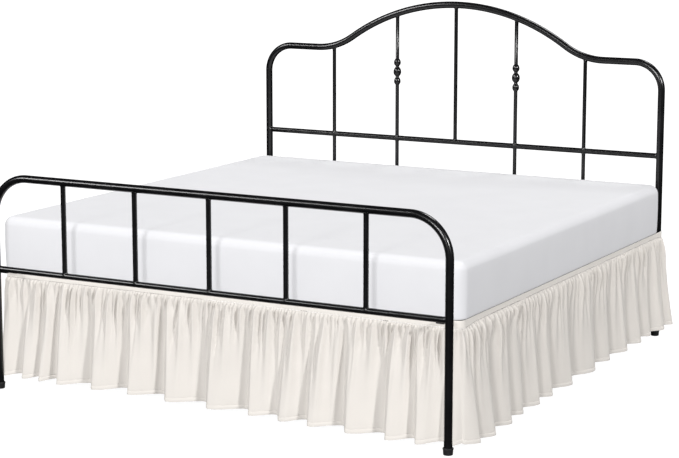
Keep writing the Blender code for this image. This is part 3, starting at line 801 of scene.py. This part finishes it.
def gathers(along, drop, at_foot, pitch, depth):
    """Small folds that spring from the band and merge in pairs on their way down.

    Ripples cos(p), cos(p / 2) and cos(p / 4) of one uneven phase p. Each swells from the band
    and fades again as (x exp(1 - x))^1.5, x being the drop over the ripple's own uneven place.
    """
    local = pitch * (1 + sum(uneven(along, *row) for row in PITCH_UNEVEN))
    phase = 2 * np.pi * np.concatenate([[0.0], np.cumsum(np.diff(along) / local[1:])])
    crest, level = RIPPLE_CREST
    small = np.zeros(drop.shape)
    for number, (place, foot, sides, ahead) in enumerate(RIPPLES):
        span = pitch * 2**number
        moved, turned, swelled = (
            uneven(along, amount, knots * span, seed + number)
            for amount, knots, seed in RIPPLE_UNEVEN
        )
        share = drop / (place * (1 + moved))
        ripple = np.cos(phase / 2**number + turned)
        ripple = ripple + crest * ripple**2 - level + ahead
        height = (sides + (foot - sides) * at_foot) * (1 + swelled)
        small += height * ripple * (share * np.exp(1 - share)) ** RIPPLE_FADE
    panels = sum(uneven(along, *row) for row in PANEL_UNEVEN)
    return depth * small + PANEL_WAVE * panels * drop


def soft_limit(values, floor):
    """The larger of two, with the corner between them rounded."""
    apart = values - floor
    return floor + (apart + np.sqrt(apart**2 + SOFT_LIMIT**2)) / 2


def keep_off_posts(points, thickness):
    """Press the cloth back where it would touch a footboard post."""
    clear = POST_RADIUS + CLOTH_CLEARANCE + thickness / 2
    for side in (-1, 1):
        centre = np.array([side * HALF_SPACING, FOOTBOARD_Y])
        offset = points[..., :2] - centre
        distance = np.linalg.norm(offset, axis=-1)
        near = distance < clear
        points[near, :2] = centre + offset[near] * (clear / distance[near])[:, None]
    return points


def ruffle_line(middle, spacing):
    """The plan line of the gathered edge, from the left headboard post round the foot to the right.

    Gives distances, points, outward normals, and each point's run and its place 0 to 1 there.
    """
    end = (HALF_SPACING + POST_RADIUS + middle, HEADBOARD_Y + POST_RADIUS)
    right = np.vstack([foot_corner_path(middle), end])
    left = right[:0:-1] * (-1.0, 1.0)
    along, plan, normals = along_path(np.vstack([left, right]), spacing)
    half = along[-1] / 2
    foot = BASE_HALF_WIDTH - BASE_CORNER + math.pi / 4 * (BASE_CORNER + middle)
    ends = np.array([0.0, half - foot, half + foot, along[-1]])
    run = np.clip(np.searchsorted(ends, along, side="right") - 1, 0, 2)
    place = (along - ends[run]) / (ends[run + 1] - ends[run])
    return along, plan, normals, run, place


def section_curves(run, place, reach):
    """Flare and hem height along the ruffle: straight lines between its sections, rounded off."""
    flare = np.empty(len(place))
    hem = np.empty(len(place))
    for number, sections in enumerate((LEFT_SECTIONS, FOOT_SECTIONS, RIGHT_SECTIONS)):
        here = run == number
        knots, flares, hems = np.array(sections).T
        flare[here] = np.interp(place[here], knots, flares)
        hem[here] = np.interp(place[here], knots, hems)
    return soften(flare, reach), soften(hem, reach)


def main_folds(run, place, drop, column):
    """Profile and depth of the main folds on the whole ruffle, with their kinks rounded off."""
    side, foot = (SIDE_FOLDS, SIDE_CREST), (FOOT_FOLDS, FOOT_CREST)
    runs = enumerate((mirrored_run(*side), foot, side))
    shapes = [run_folds(place[run == n], *folds, drop[:, run == n]) for n, folds in runs]
    profile, depth = (np.concatenate(parts, axis=1) for parts in zip(*shapes))
    sharp, rounded = (soften(profile, int(reach / column)) for reach in CREST_SOFT)
    return np.where(run == FOOT_RUN, sharp, rounded), soften(depth, int(DEPTH_SOFT / column))


def ruffle_surface(skirt):
    """Points and cloth coordinates of the ruffle's outer surface, rows from band to hem.

    A column hangs at plan + normal * out. out(v) = flare v + depth (profile - 1/2) v^0.8 plus
    the gathers; the hem's height follows its own line, lower on the folds' crests.
    """
    middle = (BAND_HIGH.y - HEADBOARD_Y - POST_RADIUS) / 2
    along, plan, normals, run, place = ruffle_line(middle, skirt.column)
    round_off = int(SECTION_SOFT / skirt.column)
    flare, hem = section_curves(run, place, round_off)

    top = BAND_LOW.z - SEWN_GAP + edge_rise(plan)
    height, proud = np.array(HEM_ROWS).T
    shares = np.array(DROP_ROWS)[:, None] + 0 * along
    drop = np.vstack([shares, 1 - height[:, None] / (top - hem)])
    proud = np.concatenate([np.zeros(len(DROP_ROWS)), proud])[:, None]

    profile, depth = main_folds(run, place, drop, skirt.column)
    folded = skirt.fold_strength * depth * (profile - 0.5) * drop**FOLD_GROWTH
    at_foot = soften((run == FOOT_RUN).astype(float), round_off)
    small = gathers(along, drop, at_foot, skirt.gather_pitch, skirt.gather_depth)
    stand = MIN_STAND * np.minimum(1.0, drop / DROP_ROWS[2])
    out = soft_limit(flare * drop + folded + small, stand) * np.minimum(1.0, drop / DROP_ROWS[1])
    points = np.empty((*drop.shape, 3))
    points[..., :2] = plan + normals * (out + proud)[..., None]
    low = hem - np.where(run == FOOT_RUN, *HEM_DIP) * (profile - 0.5)
    points[..., 2] = top - (top - low) * drop
    points = keep_off_posts(points, skirt.thickness)

    widths = np.linalg.norm(np.diff(points[-1], axis=0), axis=1)
    cloth_along = np.concatenate([[0.0], np.cumsum(widths)])
    up = (top - low[-1]) * (1 - drop)
    uv = np.stack([np.broadcast_to(cloth_along, drop.shape), up], axis=-1)
    return points, uv, cloth_along[-1]


def band_surface(band):
    """Rings of the elastic band round the bed, with its cloth coordinates and its length.

    Each ring is a flat rounded section; puckers cos(p) deepen towards the gathered lower edge
    and the edge itself is drawn up a little between them.
    """
    middle = (BAND_HIGH.y - HEADBOARD_Y - POST_RADIUS + BAND_CLEARANCE) / 2
    post = arc((HALF_SPACING, HEADBOARD_Y), POST_RADIUS + middle, 0, 90, CORNER_STEPS)
    right = np.vstack([foot_corner_path(middle), post, [0.0, HEADBOARD_Y + POST_RADIUS + middle]])
    loop = np.vstack([right, right[-2:0:-1] * (-1.0, 1.0)])
    along, plan, normals = (part[:-1] for part in along_path(loop, band.column, closed=True))
    low = BAND_LOW.z + edge_rise(plan)
    tall = BAND_HIGH.z + band.peek - low
    share, out = (part[:, None] for part in np.array(BAND_SECTION).T)
    out = out * (middle - BAND_CLEARANCE) * BAND_FILL

    local = band.pucker_pitch * (1 + uneven(along, *PUCKER_PITCH_UNEVEN))
    phase = 2 * np.pi * np.cumsum(along[1] / local)
    depth = band.pucker * before_posts(plan)
    deep = depth * (PUCKER_MEAN + uneven(along, *PUCKER_UNEVEN))
    pucker = deep * np.cos(phase) + depth * uneven(along, *PUCKER_WAVE)
    stand = out + np.where(out > 0, (1 - share) ** PUCKER_FADE * pucker, 0.0)
    edge, draw = DRAWN_UP
    drawn_up = (share < edge) * draw * deep * (1 + np.cos(phase))
    points = np.empty((len(along), len(share), 3))
    points[..., :2] = plan[:, None] + normals[:, None] * stand.T[..., None]
    points[..., 2] = (low + share * tall + drawn_up).T
    uv = np.stack(np.broadcast_arrays(along[:, None], (share * tall).T), axis=-1)
    return points, uv, float(along[-1] + along[1])


def mattress_surface(mattress):
    """Rings of a soft block from the bottom's middle, round its sides, to the top's middle.

    The plan is a rounded rectangle. The section's edges are arcs; the lower one droops by
    sqrt |sin 2a|, the sides belly out as sin^0.7, and the top is crowned as 1 - distance^4 from
    its middle.
    """
    low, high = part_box("mattress")
    (*centre, _), (*half, _) = box_middle("mattress")
    edge, lower, belly = mattress.edge_radius, mattress.lower_radius, mattress.belly
    lower_rings, side_rings, upper_rings = EDGE_RINGS
    angles = np.radians(np.linspace(-90, 0, lower_rings))
    lower_in, lower_z = lower * (1 - np.cos(angles)), low.z + lower * (1 + np.sin(angles))
    lower_z -= mattress.droop * np.sqrt(np.abs(np.sin(2 * angles)))
    angles = np.radians(np.linspace(0, 90, upper_rings))
    upper_in, upper_z = edge * (1 - np.cos(angles)), high.z - edge * (1 - np.sin(angles))
    side_z = np.linspace(lower_z[-1], upper_z[0], side_rings)[1:-1]
    z = np.concatenate([lower_z, side_z, upper_z])
    height = np.clip((z - low.z) / (high.z - low.z), 0.0, 1.0)
    inset = np.concatenate([lower_in, 0 * side_z, upper_in])
    inset += belly * (1 - np.sin(np.pi * height) ** BELLY_POWER)

    rings = np.array([rounded_ring(half, mattress.corner_radius, distance) for distance in inset])
    spread = FACE_RINGS[:, None, None]
    plan = np.concatenate([rings[0] * spread, rings, rings[-1] * spread[::-1]])
    level = np.concatenate([np.full(len(spread), z[0]), z, np.full(len(spread), z[-1])])
    level = np.broadcast_to(level[:, None], plan.shape[:2]).copy()
    far = np.abs(plan / half).max(axis=-1)
    on_top = level > high.z - ON_TOP * (high.z - low.z)
    level += mattress.crown * np.clip(1 - far**4, 0.0, 1.0) * on_top
    return np.concatenate([plan + centre, level[..., None]], axis=-1)


def rounded_ring(half, corner_radius, inset):
    """A rectangle with rounded corners and even points on its straight sides, about the middle."""
    radius = max(corner_radius - inset, LEAST_CORNER)
    corners = []
    for x_sign, y_sign, start in ((1, 1, 0), (-1, 1, 90), (-1, -1, 180), (1, -1, 270)):
        hub = (np.array(half) - inset - radius) * (x_sign, y_sign)
        corners.append(arc(hub, radius, start, start + 90, CORNER_POINTS - 1))
    return np.vstack([straight(corners[n], corners[(n + 1) % 4], SIDE_POINTS) for n in range(4)])


def straight(corner, following, steps):
    """A corner's points and the even points of the straight side up to the next corner."""
    share = np.linspace(0.0, 1.0, steps + 1)[1:-1, None]
    return np.vstack([corner, corner[-1] * (1 - share) + following[0] * share])


# ---------------------------------------------------------------------------------------------
# Settings

class SkirtSettings(bpy.types.PropertyGroup):
    """Sizes and colour of the ruffle."""

    thickness: bpy.props.FloatProperty(
        name="Cloth thickness", description="Thickness of the ruffle's cloth",
        default=0.0012, min=0.0005, max=0.003, unit="LENGTH", precision=4,
    )
    column: bpy.props.FloatProperty(
        name="Column spacing", description="Distance between the mesh's columns at the band",
        default=0.0019, min=0.0015, max=0.02, unit="LENGTH", precision=4,
    )
    fold_strength: bpy.props.FloatProperty(
        name="Fold strength", description="Depth of the main folds against the bed's own",
        default=1.0, min=0.0, max=1.2, subtype="FACTOR",
    )
    gather_pitch: bpy.props.FloatProperty(
        name="Gather pitch", description="Mean distance between the gathers under the band",
        default=0.0135, min=0.008, max=0.04, unit="LENGTH", precision=4,
    )
    gather_depth: bpy.props.FloatProperty(
        name="Gather depth", description="Half the height of the smallest gathers",
        default=0.0036, min=0.0, max=0.008, unit="LENGTH", precision=4,
    )
    color: bpy.props.FloatVectorProperty(
        name="Cloth colour", description="Colour of the ruffle and the band",
        default=(0.60, 0.570, 0.536), subtype="COLOR", size=3, min=0.0, max=1.0,
    )


class BandSettings(bpy.types.PropertyGroup):
    """Sizes of the elastic band."""

    column: bpy.props.FloatProperty(
        name="Column spacing", description="Distance between the mesh's columns",
        default=0.003, min=0.002, max=0.02, unit="LENGTH", precision=4,
    )
    peek: bpy.props.FloatProperty(
        name="Peek", description="How far the band's upper edge stands above its solid",
        default=0.0009, min=0.0, max=0.003, unit="LENGTH", precision=4,
    )
    pucker: bpy.props.FloatProperty(
        name="Pucker depth", description="Half the height of the puckers at the lower edge",
        default=0.0009, min=0.0, max=0.002, unit="LENGTH", precision=4,
    )
    pucker_pitch: bpy.props.FloatProperty(
        name="Pucker pitch", description="Mean distance between the puckers",
        default=0.012, min=0.006, max=0.04, unit="LENGTH", precision=4,
    )


class MattressSettings(bpy.types.PropertyGroup):
    """Sizes and colour of the mattress."""

    edge_radius: bpy.props.FloatProperty(
        name="Upper edge radius", description="Radius of the top edges",
        default=0.034, min=0.005, max=0.08, unit="LENGTH", precision=3,
    )
    lower_radius: bpy.props.FloatProperty(
        name="Lower edge radius", description="Radius of the bottom edges",
        default=0.008, min=0.002, max=0.08, unit="LENGTH", precision=3,
    )
    corner_radius: bpy.props.FloatProperty(
        name="Corner radius", description="Radius of the upright corners",
        default=0.046, min=0.01, max=0.2, unit="LENGTH", precision=3,
    )
    crown: bpy.props.FloatProperty(
        name="Crown", description="How much the top rises to its middle",
        default=0.005, min=0.0, max=0.02, unit="LENGTH", precision=3,
    )
    belly: bpy.props.FloatProperty(
        name="Belly", description="How much the sides stand out at half height",
        default=0.003, min=0.0, max=0.02, unit="LENGTH", precision=3,
    )
    droop: bpy.props.FloatProperty(
        name="Droop", description="How far the cover sags outside the base's rails",
        default=0.0030, min=0.0, max=0.006, unit="LENGTH", precision=4,
    )
    color: bpy.props.FloatVectorProperty(
        name="Cover colour", description="Colour of the mattress cover",
        default=(0.65, 0.65, 0.67), subtype="COLOR", size=3, min=0.0, max=1.0,
    )


class MetalSettings(bpy.types.PropertyGroup):
    """Finish of the tubes and the foot caps."""

    weld: bpy.props.FloatProperty(
        name="Weld size", description="Width of the fillet where two tubes meet",
        default=0.0018, min=0.0005, max=0.004, unit="LENGTH", precision=4,
    )
    roughness: bpy.props.FloatProperty(
        name="Coat roughness", description="Roughness of the powder coat",
        default=0.24, min=0.0, max=1.0, subtype="FACTOR",
    )
    color: bpy.props.FloatVectorProperty(
        name="Coat colour", description="Colour of the powder coat",
        default=(0.004, 0.004, 0.0045), subtype="COLOR", size=3, min=0.0, max=1.0,
    )
    cap_color: bpy.props.FloatVectorProperty(
        name="Cap colour", description="Colour of the moulded foot caps",
        default=(0.014, 0.014, 0.015), subtype="COLOR", size=3, min=0.0, max=1.0,
    )


class StageSettings(bpy.types.PropertyGroup):
    """Floor and lights."""

    floor_radius: bpy.props.FloatProperty(
        name="Floor radius", description="Radius of the round floor",
        default=60.0, min=3.0, max=200.0, unit="LENGTH",
    )
    floor_color: bpy.props.FloatVectorProperty(
        name="Floor colour", description="Colour of the floor",
        default=(0.18, 0.18, 0.18), subtype="COLOR", size=3, min=0.0, max=1.0,
    )
    sky: bpy.props.FloatProperty(
        name="Sky strength", description="Strength of the light from all round",
        default=0.20, min=0.0, max=5.0,
    )
    key: bpy.props.FloatProperty(
        name="Key strength", description="Strength of the main soft light in watts a square metre",
        default=1.45, min=0.0, max=20.0,
    )
    glow: bpy.props.FloatProperty(
        name="Floor glow", description="How much the floor's paleness is lifted in the shadows",
        default=0.97, min=0.0, max=1.0, subtype="FACTOR",
    )


class BedSettings(bpy.types.PropertyGroup):
    """All settings of the bed skirt and its bed."""

    skirt: bpy.props.PointerProperty(type=SkirtSettings, name="Skirt")
    band: bpy.props.PointerProperty(type=BandSettings, name="Band")
    mattress: bpy.props.PointerProperty(type=MattressSettings, name="Mattress")
    metal: bpy.props.PointerProperty(type=MetalSettings, name="Metal")
    stage: bpy.props.PointerProperty(type=StageSettings, name="Stage")


# ---------------------------------------------------------------------------------------------
# Operators

def finish_named(name, make, *values):
    """The material of that name, made once."""
    return bpy.data.materials.get(name) or make(*values)


def powder_coat(metal):
    """The tubes' material."""
    return finish_named("black powder coat", make_powder_coat, metal.color, metal.roughness)


class BEDSKIRT_OT_ruffle(bpy.types.Operator):
    """Sew the gathered ruffle that hangs on three sides of the bed"""

    bl_idname = "bed_skirt.ruffle"
    bl_label = "Ruffle"

    def execute(self, context):
        skirt = context.scene.bed_skirt.skirt
        points, uv, width = ruffle_surface(skirt)
        cloth = make_microfibre(skirt.color, HEM_STITCHES, HEM_HEIGHT)
        shell, faces, cloth_uvs = cloth_shell(points, uv, skirt.thickness)
        ruffle = add_piece(
            "gathered_ruffle", shell, faces, cloth, ["skirt_ruffle"], cloth_uvs, sharp=60
        )
        return {"FINISHED"}


class BEDSKIRT_OT_band(bpy.types.Operator):
    """Stretch the elastic band round the bed's base and the headboard's posts"""

    bl_idname = "bed_skirt.band"
    bl_label = "Elastic band"

    def execute(self, context):
        settings = context.scene.bed_skirt
        points, uv, length = band_surface(settings.band)
        rows, columns = points.shape[:2]
        faces = grid_quads(rows + 1, columns, around=True) % (rows * columns)
        if signed_volume(points.reshape(-1, 3), faces) < 0:
            faces = faces[:, ::-1]
        # The band's colour is painted lighter, to lift the shade that falls on it under the
        # mattress.
        cloth = make_microfibre(shade(settings.skirt.color, BAND_PAINTED_LIGHT), BAND_STITCHES)
        band = add_piece(
            "elastic_band", points, faces, cloth, ["skirt_band"], uv, sharp=60
        )
        return {"FINISHED"}


class BEDSKIRT_OT_mattress(bpy.types.Operator):
    """Lay the mattress on the bed"""

    bl_idname = "bed_skirt.mattress"
    bl_label = "Mattress"

    def execute(self, context):
        settings = context.scene.bed_skirt.mattress
        rings = mattress_surface(settings)
        cover = make_mattress_cover(settings.color)
        mattress = add_tube("covered_mattress", rings, cover, ["mattress"], sharp=0)
        return {"FINISHED"}


class BEDSKIRT_OT_footboard(bpy.types.Operator):
    """Bend and weld the footboard's tubes"""

    bl_idname = "bed_skirt.footboard"
    bl_label = "Footboard"

    def execute(self, context):
        metal = context.scene.bed_skirt.metal
        coat = powder_coat(metal)
        across = np.linspace(0.0, HALF_SPACING - FOOTBOARD_BEND, RAIL_POINTS + 1)[:-1]
        top = np.stack([across, np.full(RAIL_POINTS, FOOTBOARD_TOP)], axis=1)
        path = hoop_path(top, FOOTBOARD_TOP, FOOTBOARD_BEND)
        rings = bent_tube(path, POST_RADIUS, FOOTBOARD_Y)
        made = [add_tube("footboard_tube", rings, coat, ["footboard_hoop"])]
        made.append(add_rail("footboard_low_tube", "footboard_rail", coat, metal.weld))
        middle, half = box_middle("footboard_rail")
        ends, tubes = (middle[2], FOOTBOARD_TOP), (half[2], POST_RADIUS)
        for number in SPINDLES:
            node = f"footboard_spindle_{number}"
            made.append(add_rod(f"footboard_rod_{number}", node, ends, tubes, coat, metal.weld))
        free_of_shadows("footboard rails", made[:2], [SUNS[0][0]])
        free_of_shadows("footboard", made, [row[0] for row in SUNS[1:]])
        return {"FINISHED"}


class BEDSKIRT_OT_headboard(bpy.types.Operator):
    """Bend and weld the headboard's tubes and turn its beads"""

    bl_idname = "bed_skirt.headboard"
    bl_label = "Headboard"

    def execute(self, context):
        metal = context.scene.bed_skirt.metal
        coat = powder_coat(metal)
        across = np.linspace(0.0, ARCH_END_X, ARCH_POINTS)
        top = np.stack([across, headboard_height(across)], axis=1)
        path = hoop_path(top, SHOULDER_Z, HEADBOARD_BEND)
        rings = bent_tube(path, POST_RADIUS, HEADBOARD_Y)
        add_tube("headboard_tube", rings, coat, ["headboard_hoop"])
        add_rail("headboard_cross_tube", "headboard_cross_rail", coat, metal.weld)
        add_rail("headboard_low_tube", "headboard_lower_rail", coat, metal.weld)
        cross, thin = (part[2] for part in box_middle("headboard_cross_rail"))
        lower = box_middle("headboard_lower_rail")[0][2]
        for number in SPINDLES:
            node = f"headboard_spindle_{number}"
            x = box_middle(node)[0][0]
            before, here, after = headboard_height(x + np.array([-1, 0, 1]) * SLOPE_STEP)
            slope = (after - before) / (2 * SLOPE_STEP)
            ends, tubes = (cross, here), (thin, POST_RADIUS * math.hypot(1.0, slope))
            beads = bead_rows() if node in BEADED else ()
            add_rod(f"headboard_rod_{number}", node, ends, tubes, coat, metal.weld, slope, beads)
            short = f"headboard_low_spindle_{number}"
            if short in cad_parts:
                name = f"headboard_short_rod_{number}"
                add_rod(name, short, (lower, cross), (thin, thin), coat, metal.weld)
        return {"FINISHED"}


def add_rail(name, node, coat, weld):
    """A straight rail welded between the two posts."""
    (_, y, z), half = box_middle(node)
    start, end = (-HALF_SPACING, y, z), (HALF_SPACING, y, z)
    rings = coped_rod(start, end, half[2], (POST_RADIUS, POST_RADIUS), weld, along_x=True)
    return add_tube(name, rings, coat, [node], sharp=0)


def add_rod(name, node, ends, tubes, coat, weld, slope=0.0, beads=()):
    """An upright rod welded between two tubes whose axes lie at two heights."""
    (x, y, _), _ = box_middle(node)
    radius = box_middle(PLAIN_ROD if beads else node)[1][0]
    rings = coped_rod((x, y, ends[0]), (x, y, ends[1]), radius, tubes, weld, False, slope, beads)
    return add_tube(name, rings, coat, [node], sharp=0)


class BEDSKIRT_OT_feet(bpy.types.Operator):
    """Put the ribbed caps under the posts and the centre legs"""

    bl_idname = "bed_skirt.feet"
    bl_label = "Foot caps"

    def execute(self, context):
        metal = context.scene.bed_skirt.metal
        plastic = finish_named("black moulded plastic", make_cap_plastic, metal.cap_color)
        coat = powder_coat(metal)
        caps = [name for name in sorted(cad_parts) if "_cap_" in name]
        for node in caps:
            (x, y, _), (wide, _, _) = box_middle(node)
            tube = box_middle(node.replace("cap", "leg"))[1][0] if "centre" in node else POST_RADIUS
            bore = tube + BORE_CLEARANCE
            profile = [(wide - inside, z, ribbed) for inside, z, ribbed in CAP_ROWS]
            profile += [(bore, CAP_TOP, 0), (bore, BORE_FLOOR, 0)]
            rings = turned_rings(x, y, profile, CAP_RIBS, RIB_DEPTH, CAP_SIDES)
            add_tube(f"{node}_moulded", rings, plastic, [node], sharp=30)
        for number in (1, 2):
            node = f"centre_leg_{number}"
            (x, y, z), (wide, _, tall) = box_middle(node)
            profile = [(wide, height, 0) for height in np.linspace(z - tall, z + tall, LEG_RINGS)]
            add_tube(f"{node}_tube", turned_rings(x, y, profile), coat, [node])
        return {"FINISHED"}


class BEDSKIRT_OT_base(bpy.types.Operator):
    """Coat the plain base under the mattress"""

    bl_idname = "bed_skirt.base"
    bl_label = "Base finish"

    def execute(self, context):
        coat = powder_coat(context.scene.bed_skirt.metal)
        words = ("side_rail", "end_rail", "centre_rail", "slat", "plate")
        for name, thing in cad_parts.items():
            if any(word in name for word in words):
                thing.data.materials.clear()
                thing.data.materials.append(coat)
        return {"FINISHED"}


def add_sun(name, azimuth, elevation, softness, strength):
    """A soft distant light; azimuth 0 is in front of the foot and 90 on the bed's right."""
    light = bpy.data.lights.new(name, "SUN")
    light.angle = math.radians(softness)
    light.energy = strength
    thing = bpy.data.objects.new(name, light)
    thing.location = (0.0, 0.0, SUN_HEIGHT)
    thing.rotation_euler = (math.radians(90 - elevation), 0.0, math.radians(azimuth))
    bpy.context.scene.collection.objects.link(thing)


def free_of_shadows(name, things, lights):
    """Let some lights pass thin tubes, as a wide soft light does."""
    passed = bpy.data.collections.new(name)
    for thing in things:
        passed.objects.link(thing)
    for entry in passed.collection_objects:
        entry.light_linking.link_state = "EXCLUDE"
    for light in lights:
        bpy.data.objects[light].light_linking.blocker_collection = passed


class BEDSKIRT_OT_stage(bpy.types.Operator):
    """Set the floor, the soft lights and the camera"""

    bl_idname = "bed_skirt.stage"
    bl_label = "Stage"

    def execute(self, context):
        stage = context.scene.bed_skirt.stage
        radii = stage.floor_radius * np.linspace(0.0, 1.0, FLOOR_RINGS + 1)[1:, None] ** 2
        x, y = (radii * part for part in circle(FLOOR_SIDES))
        points = np.stack([x, y, np.full(x.shape, -FLOOR_DROP)], axis=-1)
        faces = [*grid_quads(FLOOR_RINGS, FLOOR_SIDES, around=True), range(FLOOR_SIDES)]
        floor = add_mesh("floor", points, faces, make_floor_paint(stage.floor_color, stage.glow))
        # Its own glow lights no cloth from below and doesn't show in the tubes.
        floor.visible_diffuse = floor.visible_glossy = False

        for name, azimuth, elevation, softness, share in SUNS:
            add_sun(name, azimuth, elevation, softness, stage.key * share)
        world = bpy.data.worlds.new("studio")
        world.use_nodes = True
        sky = world.node_tree.nodes["Background"]
        sky.inputs["Color"].default_value = (1.0, 1.0, 1.0, 1.0)
        sky.inputs["Strength"].default_value = stage.sky
        if hasattr(world, "cycles_visibility"):
            world.cycles_visibility.glossy = False
        context.scene.world = world
        context.scene.view_settings.view_transform = "Standard"

        lens = bpy.data.cameras.new("camera")
        lens.sensor_width = SENSOR_WIDTH
        lens.lens = FOCAL_PIXELS / PHOTO_WIDTH * SENSOR_WIDTH
        lens.clip_end = VIEW_REACH
        camera = bpy.data.objects.new("camera", lens)
        camera.location = CAMERA_PLACE
        camera.rotation_euler = (math.radians(90 - CAMERA_PITCH), 0.0, math.radians(CAMERA_YAW))
        context.scene.collection.objects.link(camera)
        context.scene.camera = camera
        return {"FINISHED"}


class BEDSKIRT_PT_panel(bpy.types.Panel):
    """Buttons and sizes of the bed skirt"""

    bl_idname = "BEDSKIRT_PT_panel"
    bl_label = "Bed Skirt"
    bl_space_type = "VIEW_3D"
    bl_region_type = "UI"
    bl_category = "Bed Skirt"

    def draw(self, context):
        settings = context.scene.bed_skirt
        for part, operators in PANEL_ROWS:
            box = self.layout.box()
            for operator in operators:
                box.operator(operator.bl_idname)
            group = getattr(settings, part)
            for name in group.bl_rna.properties.keys():
                if name not in ("rna_type", "name"):
                    box.prop(group, name)


PANEL_ROWS = (
    ("skirt", (BEDSKIRT_OT_ruffle,)),
    ("band", (BEDSKIRT_OT_band,)),
    ("mattress", (BEDSKIRT_OT_mattress,)),
    ("metal", (BEDSKIRT_OT_footboard, BEDSKIRT_OT_headboard, BEDSKIRT_OT_feet, BEDSKIRT_OT_base)),
    ("stage", (BEDSKIRT_OT_stage,)),
)
CLASSES = (
    SkirtSettings, BandSettings, MattressSettings, MetalSettings, StageSettings, BedSettings,
    BEDSKIRT_OT_ruffle, BEDSKIRT_OT_band, BEDSKIRT_OT_mattress, BEDSKIRT_OT_footboard,
    BEDSKIRT_OT_headboard, BEDSKIRT_OT_feet, BEDSKIRT_OT_base, BEDSKIRT_OT_stage,
    BEDSKIRT_PT_panel,
)


def register():
    """Register the classes and hang the settings on the scene."""
    for cls in CLASSES:
        bpy.utils.register_class(cls)
    bpy.types.Scene.bed_skirt = bpy.props.PointerProperty(type=BedSettings)


def unregister():
    """Undo register."""
    del bpy.types.Scene.bed_skirt
    for cls in reversed(CLASSES):
        bpy.utils.unregister_class(cls)


def main():
    """Build every piece in order."""
    register()
    bpy.ops.bed_skirt.stage()
    bpy.ops.bed_skirt.band()
    bpy.ops.bed_skirt.ruffle()
    bpy.ops.bed_skirt.mattress()
    bpy.ops.bed_skirt.footboard()
    bpy.ops.bed_skirt.headboard()
    bpy.ops.bed_skirt.feet()
    bpy.ops.bed_skirt.base()


if __name__ == "__main__":
    main()
